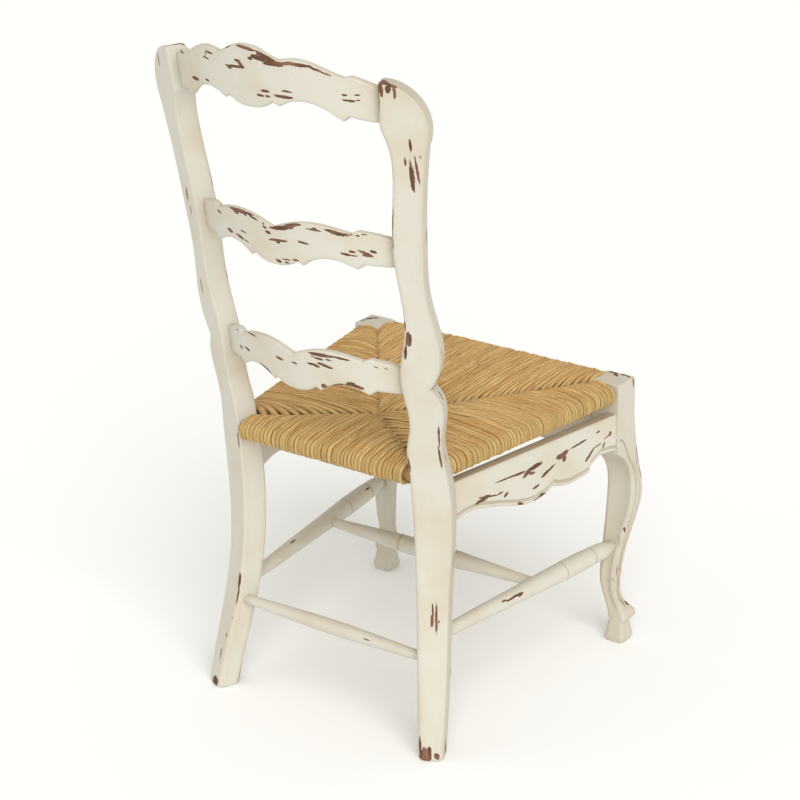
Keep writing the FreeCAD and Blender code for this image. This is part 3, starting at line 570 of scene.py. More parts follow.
# A post is a stack of rounded rectangles between its inner and outer lines and its front and back
# lines. A chip on a face carries on over the arris: there its distance from the face, times wrap, adds to
# the distance across, so that the field doesn't stop at the edge.
def rearPost(side):
    top = level["postTop"]
    base = np.arange(0.0, top, post["row"])
    crown = top - post["crown"] * np.linspace(0.0, 1.0, post["crownRows"]) ** 2
    rows = np.unique(np.concatenate([base[base < top - post["crown"]], crown, [postLine["notch"]]]))
    z, drawn = capped(rows, (post["footRound"], post["round"]), 0.0, top)
    rounding = np.interp(z, (0.0, 30.0, 130.0, 400.0), (11.0, 9.0, 6.5, post["round"]))
    low = np.stack([across(postLine["inner"], z) + drawn, across(postLine["front"], z) + drawn], 1)
    high = np.stack([across(postLine["outer"], z) - drawn, across(postLine["back"], z) - drawn], 1)
    high[:, 0] = np.maximum(high[:, 0], low[:, 0] + 1.0)
    fixed = (0.8, 2.0, 4.0, 6.5)
    rings, fromStart, fromEnd, _ = roundedRings(low, high, rounding, fixed, post["spare"], 4)
    a, b = rings[..., 0], rings[..., 1]
    height = np.broadcast_to(z[:, None], a.shape)
    places = postPlace(a, b, height)
    if side == "right":
        places = mirroredX(places)
    marks, others = postChips[side], postChips["left" if side == "right" else "right"]
    fromFront, fromBack = b - low[:, 1:], high[:, 1:] - b
    fromInner, fromOuter = a - low[:, :1], high[:, :1] - a
    middle = (low[:, :1] + high[:, :1]) / 2
    faces = (
        (marks["back"], a + np.sign(a - middle) * postWear["wrap"] * fromBack, True),
        (others["back"], a + np.sign(a - middle) * postWear["wrap"] * fromFront, True),
        (marks["inner"], fromFront, (a < middle) & (fromInner < 1.0)),
        (marks["outer"], fromFront, (a > middle) & (fromOuter < 1.0)))
    chips = np.zeros(a.shape)
    for chosen, along, here in faces:
        chips = np.maximum(chips, np.where(here, chipField(along, height, chosen), 0.0))
    # Darker along the crease of the notch, painted shade over the outer side face, and darker at the very
    # top.
    nearNotch = np.exp(-np.abs(height - postLine["notch"]) / 2.5) * np.clip((a - 34.0) / 6.0, 0.0, 1.0)
    dip = nearNotch * postWear["notchDarkening"] + np.where(fromOuter < 2.0, postWear["outerPaintedShade"], 0.0)
    dip = dip + postWear["topDarkening"] * (height > top - 3.0)
    fields = {"edge": worn(fromStart, fromEnd), "chip": chips, "dip": dip}
    standIn(meshPiece("post_" + side, places, fields, "upright"), "painted_wood", "rear_post_" + side)


for side in ("left", "right"):
    rearPost(side)
print("rear posts made")

# Back slats: bent boards sawn to a waved outline. Half outlines run from the middle outwards.
# Shade is painted on each slat near its ends, where it goes into the posts.
slat = {"thickness": 12.0, "bend": 292.0, "setback": 13.0, "into": 7.0, "round": 3.6, "step": 2.0,
        "spare": 40, "wrap": 1.4, "endPaintedShade": 0.4, "endFade": 7.0}
ladder = {
    "half": 168.0,
    "upper": traced((0.0, 24.0), [(36.0, 36.0), (82.0, 36.5), (117.0, 27.0)],
                    [(124.0, 31.5), (132.0, 30.5)], [(148.0, 27.0), (162.0, 22.0), (180.0, 18.0)]),
    "lower": traced((0.0, -33.0), [(20.0, -31.0), (37.0, -22.5)], [(45.0, -27.5)],
                    [(60.0, -18.0), (82.0, -13.0), (104.0, -17.0), (121.0, -25.5)],
                    [(132.0, -18.5)], [(156.0, -21.0), (180.0, -23.0)]),
    "breaks": (37.0, 45.0, 117.0, 121.0, 132.0),
}
crest = {
    "half": 176.0,
    "upper": traced((0.0, 62.5), [(18.0, 60.5), (36.0, 52.0), (51.0, 46.5)],
                    [(72.0, 49.5), (96.0, 45.0), (119.0, 34.0), (136.0, 26.5)],
                    [(142.0, 28.5), (148.0, 27.0)], [(160.0, 21.0), (174.0, 13.0), (188.0, 8.0)]),
    "lower": traced((0.0, -25.5), [(20.0, -23.5), (37.0, -14.0)], [(46.0, -19.5)],
                    [(64.0, -11.5), (86.0, -10.0), (110.0, -19.0), (131.0, -34.5)],
                    [(139.0, -28.0)], [(162.0, -34.5), (188.0, -38.0)]),
    "breaks": (37.0, 46.0, 51.0, 131.0, 136.0, 139.0),
}
# Chips on a slat's back face: (across, above the slat's level, length, width, degrees). The front face
# wears the same ones, seen from the other side.
slatChips = {
    "lower_slat": [
        (-50, 32, 40, 6, 1), (-80, 30.5, 28, 3.6, 8), (-46, 25, 14, 3.2, 4), (-61, 25.3, 9, 3, 6),
        (-36, 27, 4, 2.4, 0), (-35, 14.5, 18, 3.4, 4), (-55, 15.5, 25, 5, 15), (-43, 12, 9, 3.2, 0),
        (-49, -18, 10, 8, 10), (-70, -14.5, 22, 5.2, -19), (-89, -9, 14, 6, -15), (-97, -11, 23, 6, 18),
        (83, 34, 24, 2.8, 4), (117, 1, 9, 4.2, 20), (98, 4, 15, 4.4, 10), (122, 27, 5, 3.2, 0),
        (67, -11, 9, 3.4, 15), (56, -15, 18, 4.4, 25), (25, 10.8, 16, 4, 8), (-3, 10, 12, 3, 8),
        (-128, 21, 9, 1.6, 20), (-139, 20, 10, 1.4, 25)],
    "middle_slat": [
        (57, 37, 54, 8, 0), (68, 33.5, 13, 7, 20), (48, 33.5, 10, 3, 22), (32, 32.5, 22, 3.8, 13),
        (13, 27, 5, 3.4, 30), (10.5, 21.5, 9, 4, 10), (6, 15, 11, 5, 8), (-16, 26, 40, 8, -6),
        (-32, 31.5, 22, 8, -18), (-41, 35.5, 22, 6, -4), (-71, 30, 22, 2.4, 5), (-71, 32.5, 7, 3.4, 0),
        (-100, 29.5, 33, 6.8, 15), (-118, 28.5, 12, 3, 12), (-129, 26.5, 5, 2.6, 10),
        (-137, 29, 9, 2.6, 0),
        (-11, 6, 32, 4.6, -5), (-10, 3, 8, 3.6, 0), (-51, 8.7, 16, 3.4, 8), (88, -1, 14, 5.4, 5),
        (66, -4.3, 18, 4.4, 15), (57, 5.2, 14, 2.2, 9), (52, -8, 11, 2, 14), (-7, -26, 10, 4.6, 5),
        (-20, -21.5, 16, 2.4, -2), (-21, -26, 8, 2.8, 0), (-36, -19.5, 10, 3.6, 0),
        (-111, -2.5, 13, 4.2, 10), (-121, -4, 13, 2.2, 4), (-119, 2, 10, 3.8, 12),
        (-136, 0, 20, 5, 28), (-138, -3.5, 15, 3.2, 8),
        (-146, 2.8, 9, 4.6, 24), (112, 21, 12, 4, 10)],
    "top_slat": [
        (-6, 59, 34, 7, 8), (-37, 50, 34, 9, 25), (-24, 47, 26, 7, 12), (-11, 44.5, 8, 4, 10),
        (-50, 41.5, 38, 7, 0), (-82, 43, 42, 6, 4), (-106, 38, 16, 4.6, 20), (-114, 34.5, 22, 3.2, 22),
        (27, 56.5, 13, 3.2, -24), (11.5, 38.5, 11, 4.4, 8), (7, 34.5, 9, 5, 40),
        (19, 29.5, 36, 4.2, -3),
        (28, 26.5, 9, 3.6, 0), (4, 31, 6, 6, 90), (-29, 1.2, 15, 3.8, 3), (-61.5, 4.2, 17, 3, 5),
        (-20.5, -6.2, 13, 3, 4), (-33, -6, 10, 2.8, 4), (-56, -4, 33, 4.6, 2), (-138, 3.6, 8, 2.6, 4),
        (-152.5, 3.7, 8, 3.2, -2), (-142.5, -4.2, 16, 3.4, 5), (-153, -3.6, 6, 2, -10),
        (67.5, 40.5, 17, 3, 4), (76, 36.5, 8, 2.4, 80), (76, 31.5, 15, 2.6, 5),
        (112, -6, 19, 5.6, -4), (80, -1.5, 10, 3.6, 5),
        (146, 24, 12, 4, 6)],
}


# Section between the two bends at each distance across; the board leans back as it rises.
def backSlat(node, height, shape):
    inner = across(postLine["inner"], min(height, level["top"] - 42.0))
    end = postPlace(inner, across(postLine["back"], height) - slat["setback"], height)
    spread = end[0] / shape["half"]
    reach = end[0] + slat["into"]
    breaks = spread * np.array(shape["breaks"])
    x = np.unique(np.concatenate([np.arange(-reach, reach, slat["step"]), [reach], breaks, -breaks]))
    upper = rise(shape["upper"], np.abs(x) / spread)
    lower = rise(shape["lower"], np.abs(x) / spread)
    bend = slat["bend"]
    axis = end[1] - math.sqrt(bend ** 2 - end[0] ** 2)
    yBack = axis + np.sqrt(bend ** 2 - x ** 2)
    yFront = axis + np.sqrt((bend - slat["thickness"]) ** 2 - x ** 2)
    rings, fromStart, fromEnd, _ = roundedRings(
        np.stack([yFront, lower], 1), np.stack([yBack, upper], 1),
        np.full(len(x), slat["round"]), (0.8, 2.0, 4.0), slat["spare"], 4)
    h = rings[..., 1]
    sideways = np.broadcast_to(x[:, None], h.shape)
    lean = post["slope"] * math.cos(turn)
    places = np.stack([sideways, rings[..., 0] + lean * h, h + height], -1)
    fromBack = yBack[:, None] - rings[..., 0]
    seen = np.where(fromBack > slat["thickness"] / 2, -1.0, 1.0)
    fromFace = np.where(seen > 0.0, fromBack, np.maximum(slat["thickness"] - fromBack, 0.0))
    unrolled = h + np.sign(h - (upper + lower)[:, None] / 2) * slat["wrap"] * fromFace
    chips = chipField(seen * sideways, unrolled, slatChips[node])
    # Painted shade: darker towards the posts, where the slat meets them.
    toPost = np.maximum(end[0] - np.abs(sideways), 0.0)
    dip = slat["endPaintedShade"] * np.exp(-toPost / slat["endFade"])
    fields = {"edge": worn(fromStart, fromEnd), "chip": chips, "dip": dip}
    standIn(meshPiece(node.replace("_slat", "Slat"), places, fields, "across"), "painted_wood", node)


backSlat("lower_slat", level["lower"], ladder)
backSlat("middle_slat", level["middle"], ladder)
backSlat("top_slat", level["top"], crest)
print("slats made")

# Front legs: a square block on a cabriole leg with a scroll toe, over a small flared foot.
leg = {"halfWidth": 255.5, "width": 50.0, "depth": 48.0, "knee": 265.0, "ankle": 110.0, "toe": 48.0,
       "footTop": 37.0, "neck": 26.0, "foot": 35.0, "row": 2.2, "edge": 3.0, "spare": 18}
leg["x"] = leg["halfWidth"] - leg["width"] / 2
# The aprons' top faces, under the seat, are given painted shade.
apron = {"thickness": 20.0, "drop": 49.0, "setback": 5.0, "alongPost": 55.0, "into": 7.0, "arch": 59.0,
         "belly": 86.0, "round": 3.0, "step": 1.7, "bead": (6.2, 9.4), "beadHalf": 1.2, "beadDepth": 1.3,
         "spare": 40, "topDarkening": 0.7}
legArch = level["seat"] - apron["drop"] - apron["arch"] - 8.0


# The lines a front leg is sawn to, as distances across and heights: foot, neck and toe come first, then
# the ankle, the knee and the square block.
def legLines():
    inner = leg["x"] - leg["width"] / 2
    outer = leg["halfWidth"]
    front, back = -leg["depth"] / 2, leg["depth"] / 2
    knee, ankle, toe, foot, seat = leg["knee"], leg["ankle"], leg["toe"], leg["footTop"], level["seat"]
    middleX = outer - 4.0 - leg["foot"] / 2
    middleY = front + 4.0
    half, neck = leg["foot"] / 2, leg["neck"] / 2
    sides = {}
    sides["outer"] = traced(
        (middleX + half - 1.5, 0.0), [(middleX + half, 9.0)],
        [(middleX + neck + 1.8, 25.0), (middleX + neck, foot - 3.0)],
        [(outer - 4.0, toe - 5.0), (outer - 5.0, toe)],
        [(outer - 13.5, toe + 20.0), (outer - 17.0, ankle), (outer - 4.0, knee - 62.0),
         (outer + 6.5, knee), (outer + 3.0, knee + 55.0), (outer, legArch + 45.0)], [(outer, seat)])
    sides["inner"] = traced(
        (middleX - half + 1.5, 0.0), [(middleX - half, 9.0)],
        [(middleX - neck - 1.8, 25.0), (middleX - neck, foot - 2.0)],
        [(inner + 9.0, toe + 12.0), (inner + 3.5, ankle - 12.0), (inner + 4.0, ankle + 40.0),
         (inner + 8.0, knee - 10.0), (inner + 6.0, knee + 45.0), (inner, legArch)], [(inner, seat)])
    sides["front"] = traced(
        (middleY - half + 1.5, 0.0), [(middleY - half, 9.0)],
        [(middleY - neck - 1.8, 25.0), (middleY - neck, foot - 4.0)],
        [(front - 23.0, toe - 4.0), (front - 22.0, toe + 1.0)],
        [(front - 3.0, toe + 24.0), (front + 2.5, ankle + 10.0), (front - 10.5, knee - 62.0),
         (front - 18.0, knee), (front - 10.0, knee + 52.0), (front, legArch + 55.0)], [(front, seat)])
    sides["back"] = traced(
        (middleY + half - 1.5, 0.0), [(middleY + half, 9.0)],
        [(middleY + neck + 1.8, 25.0), (middleY + neck, foot - 2.0)],
        [(back - 31.0, toe + 12.0), (back - 21.0, ankle - 5.0), (back - 22.5, ankle + 45.0),
         (back - 33.5, knee), (back - 29.0, knee + 48.0), (back, legArch)], [(back, seat)])
    return sides


legLine = legLines()
# Chips on the legs' outer faces (depth, height, length, width, degrees), then on the blocks' tops
# (outwards, depth).
legChips = {
    "right": {"outer": [(-29, 326, 34, 2.6, 80), (-35, 297, 28, 4.4, 84), (-17, 452, 16, 3.4, 80),
                        (-6, 205, 22, 3.2, 70), (-18, 120, 26, 3.4, 62), (-30, 62, 18, 6, 30)],
              "top": [(218, -19, 18, 8, 0), (227, -12, 15, 6, 35), (238, -19, 16, 5, 0),
                      (247, -16, 9, 4, 20)]},
    "left": {"outer": [(-33, 285, 40, 4, 86), (-20, 440, 20, 3.4, 88), (4, 398, 12, 3, 70),
                       (-12, 150, 24, 3, 66), (-26, 58, 16, 5, 40)],
             "top": [(245, -3, 15, 7, 60), (239, -11, 12, 5, 20), (250, 9, 9, 4, 70)]},
}


# Lines scratched on a leg, as (distance from the arris, half width): on the outer face by its back and
# front arrises, on the front face by its far and near ones. Above the toe they fade in, and below the
# arch they fade out. The inner and back faces are hollowed a little between their arrises.
# The last two give the glaze in the scratched lines and a little painted shade laid evenly over the whole
# leg.
carving = {"outerBack": (6.0, 2.4), "outerFront": (5.0, 1.4), "frontFar": (5.0, 1.4),
           "frontNear": (6.0, 2.0), "sweepHalf": 2.0, "depth": 2.2, "hollow": 2.0, "start": 52.0,
           "startFade": 12.0, "stop": 12.0, "stopFade": 16.0, "glaze": 0.9, "darkening": 0.15}


# How much of a scratched line there is at each point, and how far the point is pushed inwards. The
# hollow is 1 in the middle of a face and falls to 0 at its arrises as a parabola.
def legCarving(fromStart, fromEnd, sides, depth, height):
    z = height[:, :1]
    fade = np.clip((z - carving["start"]) / carving["startFade"], 0.0, 1.0) \
        * np.clip((legArch - carving["stop"] - z) / carving["stopFade"], 0.0, 1.0)
    lines = {}
    for key, distance in (("outerBack", fromEnd), ("outerFront", fromStart),
                          ("frontFar", fromEnd), ("frontNear", fromStart)):
        place, half = carving[key]
        lines[key] = groove(distance, (place,), half)
    bead = np.where(sides == 1, lines["outerBack"] + lines["outerFront"], 0.0)
    bead = (bead + np.where(sides == 0, lines["frontFar"] + lines["frontNear"], 0.0)) * fade
    # A scratched line leaves the apron, sweeps over its arch and joins the groove by the back arris.
    arrisY = across(legLine["back"], legArch - 20.0) - 11.0
    sweep = smoothLine([(26.0, legArch + 24.0), (15.0, legArch + 22.0), (6.0, legArch + 11.0),
                        (-1.0, legArch - 5.0), (arrisY, legArch - 20.0)], 90)
    drawn = alongLine(depth, height, sweep, carving["sweepHalf"])
    bead = np.maximum(bead, np.where(sides == 1, drawn, 0.0))
    half = np.maximum((fromStart + fromEnd) / 2, 1.0)
    hollow = 1.0 - (1.0 - np.minimum(fromStart, fromEnd) / half) ** 2
    hollow = np.where((sides == 2) | (sides == 3), hollow, 0.0) * fade
    return bead, bead * carving["depth"] + hollow * carving["hollow"]


# A leg is a stack of rounded rectangles between its four lines, with concentric ones over the block's
# top so that the paint there has points to lie on.
def frontLeg(side):
    z = np.unique(np.concatenate([np.arange(0.0, level["seat"], leg["row"]), np.linspace(30, 60, 40),
                                  np.arange(legArch - 45.0, legArch + 28.0, 1.2), [9.0, legArch]]))
    z, drawn = capped(z, (leg["edge"], leg["edge"]), 0.0, level["seat"])
    top = np.arange(4.5, 23.0, 2.0)
    z, drawn = np.append(z, 0.0 * top + level["seat"]), np.append(drawn, top)
    low = np.stack([across(legLine["inner"], z) + drawn, across(legLine["front"], z) + drawn], 1)
    high = np.stack([across(legLine["outer"], z) - drawn, across(legLine["back"], z) - drawn], 1)
    rounding = np.interp(z, (0, 30, 38, 50, 110, 200, 300, 345, 460), (6, 5, 6, 8, 8, 6, 5, 3, 3))
    fixed = (1.0, 2.5, 4.0, 5.0, 6.0, 7.0, 8.0, 9.0, 10.5)
    rings, fromStart, fromEnd, sides = roundedRings(low, high, rounding, fixed, leg["spare"], 4)
    height = np.broadcast_to(z[:, None], rings.shape[:2])
    depth = rings[..., 1]
    bead, push = legCarving(fromStart, fromEnd, sides, depth, height)
    inward = np.array([(0, 1), (-1, 0), (0, -1), (1, 0), (0, 0)], float)[sides]
    rings = rings + inward[None] * push[..., None]
    places = np.concatenate([rings, height[..., None]], -1)
    marks = legChips[side]
    outFace = (high[:, :1] - rings[..., 0] < 3.5) & (z < level["seat"] - 0.1)[:, None]
    chips = np.where(outFace, chipField(depth, height, marks["outer"]), 0.0)
    crown = (z > level["seat"] - 2.9)[:, None]
    chips = np.maximum(chips, np.where(crown, chipField(rings[..., 0], depth, marks["top"]), 0.0))
    if side == "right":
        places = mirroredX(places)
    # Glaze in the scratched lines, plus painted shade over the whole leg.
    fields = {"edge": worn(fromStart, fromEnd) * (drawn < 4.0)[:, None], "chip": chips,
              "dip": np.clip(bead, 0.0, 1.0) * carving["glaze"] + carving["darkening"]}
    standIn(meshPiece("frontLeg_" + side, places, fields, "upright"), "painted_wood", "front_leg_" + side)


for side in ("left", "right"):
    frontLeg(side)
print("front legs made")

# Aprons: boards under the seat with a waved lower edge, and a scratched bead along it.
arch, belly = apron["arch"], apron["belly"]
sideWave = {
    "line": traced((0.0, arch + 6.0),
                   [(0.045, arch), (0.098, arch - 1.7)],
                   [(0.139, arch + 6.0), (0.170, belly - 12.5), (0.222, belly - 4.5),
                    (0.290, belly - 2.5)],
                   [(0.340, belly - 5.5), (0.383, belly - 13.0)],
                   [(0.415, belly - 8.0), (0.450, belly - 3.0), (0.520, belly), (0.600, belly - 4.0),
                    (0.700, arch + 12.5), (0.800, arch + 3.0), (0.890, arch - 1.5), (0.950, arch + 1.0),
                    (1.030, arch + 6.0)]),
    "breaks": (0.290, 0.383),
}
frontHalf = traced((0.0, arch + 6.0),
                   [(0.041, arch), (0.090, arch - 1.7)],
                   [(0.127, arch + 6.0), (0.155, belly - 12.5), (0.200, belly - 4.5),
                    (0.250, belly - 2.5)],
                   [(0.290, belly - 5.5), (0.325, belly - 13.0)],
                   [(0.360, belly - 6.0), (0.420, belly + 0.5), (0.500, belly + 2.0)])
frontWave = {"line": np.vstack([frontHalf, (frontHalf * (-1.0, 1.0) + (1.0, 0.0))[-2::-1]]),
             "breaks": (0.250, 0.325, 0.675, 0.750)}
# Chips on the aprons' outer faces: (from the leg, down from the top, length, width, degrees).
apronChips = {
    "right": [
        (41, 15.8, 9, 3, 15), (13.5, 27, 9, 6.5, 60), (23, 31, 13, 2, 20), (28, 41.5, 11, 4, 55),
        (42, 38.5, 18, 2.2, 10), (58, 46.5, 24, 4.6, 42), (67, 53.5, 9, 4.6, 50),
        (87, 22.5, 44, 3.4, 7),
        (121, 28.5, 28, 10, 14), (118, 36, 12, 9, 90), (131, 29, 14, 6, 20), (148, 42.5, 19, 4.6, 22),
        (160, 47.5, 21, 5.6, 24), (184, 29, 38, 8, 8), (199, 34, 24, 7, 24), (190, 37, 16, 5, -10),
        (236, 28.5, 66, 3, -1), (216, 29.5, 26, 4.2, 0), (180, 62.5, 16, 4.6, 8), (152, 80, 18, 4, 32),
        (168, 82, 22, 8, 14), (181, 85, 14, 6, 10), (214, 80, 16, 5.6, -22), (245, 54, 12, 5, 30),
        (282, 45, 44, 2.6, -12), (292, 45.5, 22, 7, 12), (304, 47, 12, 5, 16), (258, 48, 12, 3, 8)],
    "left": [
        (52, 22, 26, 5, 6), (66, 29, 16, 7, 30), (30, 40, 18, 3.2, 48), (108, 34, 40, 4, -4),
        (128, 39, 20, 8, 12), (160, 60, 18, 4, 8), (196, 30, 44, 4, 5), (212, 36, 22, 8, -12),
        (236, 70, 24, 5, -24), (268, 34, 34, 3, 2), (290, 40, 20, 7, 10), (174, 83, 24, 5, 6)],
    "front": [
        (44, 30, 30, 4, 4), (58, 37, 18, 8, 20), (110, 26, 44, 4, -3), (134, 33, 22, 8, 10),
        (150, 66, 18, 4, 0), (206, 40, 36, 5, 4), (222, 46, 18, 8, -14), (250, 82, 26, 5, 4),
        (286, 28, 40, 3.4, 0), (302, 34, 20, 7, 12), (340, 44, 26, 4, 24), (366, 36, 14, 6, 60)],
}


# The board's own axes: along, in from the outer face, above its top. Gives points and fields.
def wavedBoard(length, wave, chips):
    along = np.unique(np.concatenate([np.arange(-apron["into"], length + apron["into"], apron["step"]),
                                      [length + apron["into"]], length * np.array(wave["breaks"])]))
    depth = rise(wave["line"], np.clip(along / length, 0.0, 1.0))
    nothing = 0.0 * along
    fixed = (0.8, 2.0, 3.5, 5.0, 5.6, 6.2, 6.8, 7.4, 8.2, 8.8, 9.4, 10.0, 10.6, 12.0)
    rings, fromStart, fromEnd, sides = roundedRings(
        np.stack([nothing, -depth], 1), np.stack([nothing + apron["thickness"], nothing], 1),
        nothing + apron["round"], fixed, apron["spare"])
    bead = np.where(sides == 3, groove(fromEnd + apron["round"], apron["bead"], apron["beadHalf"]), 0.0)
    rings[..., 0] += bead * apron["beadDepth"]
    run = np.broadcast_to(along[:, None], bead.shape)
    places = np.stack([run, rings[..., 0], rings[..., 1]], -1)
    field = np.where(rings[..., 0] < apron["round"], chipField(run, -rings[..., 1], chips), 0.0)
    # Glaze in the scratched bead, and painted shade on the top face, which lies under the seat.
    dip = np.clip(bead, 0.0, 1.0) + np.where(sides == 2, apron["topDarkening"], 0.0)
    return places, {"edge": worn(fromStart, fromEnd), "chip": field, "dip": dip}


# A side apron runs from the back of the leg block to the post's front face, the front one between the
# blocks. The board's own axes are turned that way, and the right side mirrors the left.
def setApron(side):
    top = level["seat"] - apron["drop"]
    if side == "front":
        length = 2.0 * (leg["halfWidth"] - leg["width"])
        places, fields = wavedBoard(length, frontWave, apronChips[side])
        places = places + (-length / 2, apron["setback"] - leg["depth"] / 2, top)
    else:
        start = np.array([leg["halfWidth"] - apron["setback"], leg["depth"] / 2])
        height = top - apron["arch"] / 2
        end = postPlace(apron["alongPost"], across(postLine["front"], height), height)[:2]
        length = np.hypot(*(end - start))
        way = (end - start) / length
        places, fields = wavedBoard(length, sideWave, apronChips[side])
        inn = np.array([-way[1], way[0]])
        flat = start + places[..., :1] * way + places[..., 1:2] * inn
        places = np.concatenate([flat, places[..., 2:] + top], -1)
        if side == "right":
            places = mirroredX(places)
    board = meshPiece("apron_" + side + "_board", places, fields, "across" if side == "front" else "deep")
    standIn(board, "painted_wood", "apron_" + side)


for side in ("left", "right", "front"):
    setApron(side)
print("aprons made")

# Turned stretchers: a half profile of (radius, distance) carried round the axis.
# Their brown darkening is glaze in the ring grooves and painted shade at the ends, where they meet the
# legs and posts.
stretcher = {"side": 171.0, "rear": 147.0, "alongPost": 36.0, "cross": 175.0, "groove": 1.6,
             "grooveHalf": 2.4, "into": 6.0, "around": 48, "step": 3.0, "endPaintedShade": 0.55,
             "endFade": 9.0, "darkening": 0.7, "rubbed": 0.12}
# Chips on the stretchers: (along from the first end, round from the top, length, width, degrees).
stretcherChips = {
    "right": [(244, 13, 38, 3.4, 4), (231, 14.5, 15, 5, 10), (266, 11, 12, 2.4, 0), (96, -12, 16, 3, 5)],
    "left": [(150, -14, 26, 3.2, -4), (60, 10, 12, 3, 6), (290, 4, 18, 2.6, 0)],
    "cross": [(260, -10, 16, 3, -4)],
    "rear": [(90, 12, 14, 2.2, 3), (240, -8, 18, 2.6, -3)],
}


# Radius by distance along from a smooth line, less a notch at each ring groove.
def turnedPiece(name, node, start, end, profile, rings, finish):
    length = np.linalg.norm(end - start)
    into = stretcher["into"]
    at = np.unique(np.concatenate([np.arange(-into, length + into, stretcher["step"]), [length + into]]
                                  + [np.linspace(ring - 3.0, ring + 3.0, 13) for ring in rings]))
    radius = across(profile, np.clip(at, 0.0, length))
    cut = np.clip(groove(at, rings, stretcher["grooveHalf"]), 0.0, 1.0) if rings else 0.0 * at
    radius = radius - cut * stretcher["groove"]
    way = (end - start) / length
    side = np.cross(way, (0.0, 0.0, 1.0))
    side = side / np.linalg.norm(side)
    above = np.cross(side, way)
    angle = np.linspace(0.0, 2.0 * math.pi, stretcher["around"], endpoint=False)
    rim = np.multiply.outer(np.cos(angle), side) + np.multiply.outer(np.sin(angle), above)
    places = (start + np.multiply.outer(at, way))[:, None] + radius[:, None, None] * rim[None]
    # Glaze in the ring grooves, and painted shade near the ends, where the stretcher meets the legs and
    # posts.
    nearEnd = np.exp(-np.clip(np.minimum(at, length - at), 0.0, None) / stretcher["endFade"])
    darkening = np.broadcast_to((cut + stretcher["endPaintedShade"] * nearEnd)[:, None], places.shape[:2])
    aroundRim = radius[:, None] * (angle - 0.5 * math.pi)[None]
    chips = chipField(at[:, None] + 0.0 * aroundRim, aroundRim, stretcherChips[name.split("_")[1]])
    fields = {"edge": stretcher["rubbed"] + 0.0 * darkening, "chip": chips, "dip": darkening * stretcher["darkening"]}
    standIn(meshPiece(name, places, fields, finish), "painted_wood", node)


# The side stretchers run from the legs to the posts, the cross one between them, and the rear one
# between the posts. Each has its own half profile, as shares of its length.
def makeStretchers():
    height = stretcher["side"]
    start = np.array([(across(legLine["inner"], height) + across(legLine["outer"], height)) / 2,
                      across(legLine["back"], height), height])
    end = postPlace(stretcher["alongPost"], across(postLine["front"], height), height)
    length = np.linalg.norm(end - start)
    first, second = 0.125 * length, 0.30 * length
    line = traced((9.0, 0.0), [(13.7, first / 2 + 4.0), (14.5, first - 2.2), (14.7, first)],
                  [(15.5, (first + second) / 2), (15.5, second)],
                  [(13.5, second + 0.30 * (length + 15.0 - second)),
                   (11.3, second + 0.70 * (length + 15.0 - second)), (9.0, length)])
    for side, flip in (("left", 1.0), ("right", -1.0)):
        turnedPiece("stretcher_" + side + "_turned", "stretcher_" + side, start * (flip, 1, 1),
                    end * (flip, 1, 1), line, (first, second), "deep")
    place = start + (end - start) * (stretcher["cross"] - start[1]) / (end[1] - start[1])
    tip = place - (14.5, 0.0, 0.0)
    length = 2.0 * tip[0]
    low, high = 0.36 * length, 0.64 * length
    line = traced((7.5, 0.0), [(10.5, 0.45 * low), (12.75, 0.80 * low), (14.25, low)], [(14.25, high)],
                  [(12.75, length - 0.80 * low), (10.5, length - 0.45 * low), (7.5, length)])
    turnedPiece("stretcher_cross_turned", "stretcher_cross", tip * (-1, 1, 1), tip, line, (low, high),
                "across")
    height = stretcher["rear"]
    depth = (across(postLine["back"], height) + across(postLine["front"], height)) / 2
    tip = postPlace(across(postLine["inner"], height), depth, height)
    length = 2.0 * tip[0]
    line = smoothLine([(7.5, 0.0), (9.9, 0.25 * length), (11.5, length / 2), (9.9, 0.75 * length),
                       (7.5, length)])
    turnedPiece("stretcher_rear_turned", "stretcher_rear", tip * (-1, 1, 1), tip, line, (), "across")


makeStretchers()
print("stretchers made")

# Rush seat: each quarter is wound from separate cords that come out of the seam, run over the top,
# round the rail and back underneath.
rush = {"pitch": 6.5, "thick": 3.3, "half": 16.0, "reach": 18.5, "bend": 15.0, "fall": 6.0,
        "around": 12, "crown": 4.0, "seamDrop": 2.4, "seamWidth": 8.0, "meeting": 300.0,
        "railForward": 12.0, "railOut": 3.5, "railAlongPost": 38.0, "rearRailIn": 16.0}
# How uneven the cords are: their widths, how far they sway and rise, and their lumps and twist. The last
# two say how much shade is painted between neighbours and near the seam.
cord = {"widths": (0.68, 1.32), "curve": 0.38, "sway": 0.35, "ripple": 0.6, "rise": 0.30,
        "overlap": 0.53, "lump": 0.06, "uneven": 0.12, "twist": 0.045, "grain": 0.009, "grainWidth": 1.5,
        "gapShade": 0.66, "seamShade": 0.2}
railLevel = level["seat"] - 1.0 - rush["half"]


# The seat falls a little towards the back.
def seatHeight(y):
    return railLevel - rush["fall"] * y / post["depth"]


# Distance out from the rail's line (as a share of the way to the seam where it is inside) and height from
# the rail's level, for one cord from the seam over the rail and back underneath.
def cordPath():
    lift = rush["half"] - rush["thick"]
    inside = 1.0 - np.array([0.0, 0.012, 0.03, 0.055, 0.09, 0.14, 0.22, 0.32, 0.43, 0.55, 0.67, 0.78,
                             0.88, 0.95])
    swing = np.radians(np.linspace(90, 0, 8))
    r = rush["bend"] - rush["thick"]
    straight = rush["reach"] - rush["bend"]
    drop = rush["half"] - rush["bend"]
    over = np.stack([straight + r * np.cos(swing), drop + r * np.sin(swing)], 1)
    outPart = np.vstack([over, (over * (1.0, -1.0))[::-1]])
    share = np.concatenate([inside, np.zeros(len(outPart)), inside[::-1]])
    out = np.concatenate([0.0 * inside, outPart[:, 0], 0.0 * inside])
    height = np.concatenate([lift + 0.0 * inside, outPart[:, 1], -lift + 0.0 * inside])
    return share, out, height


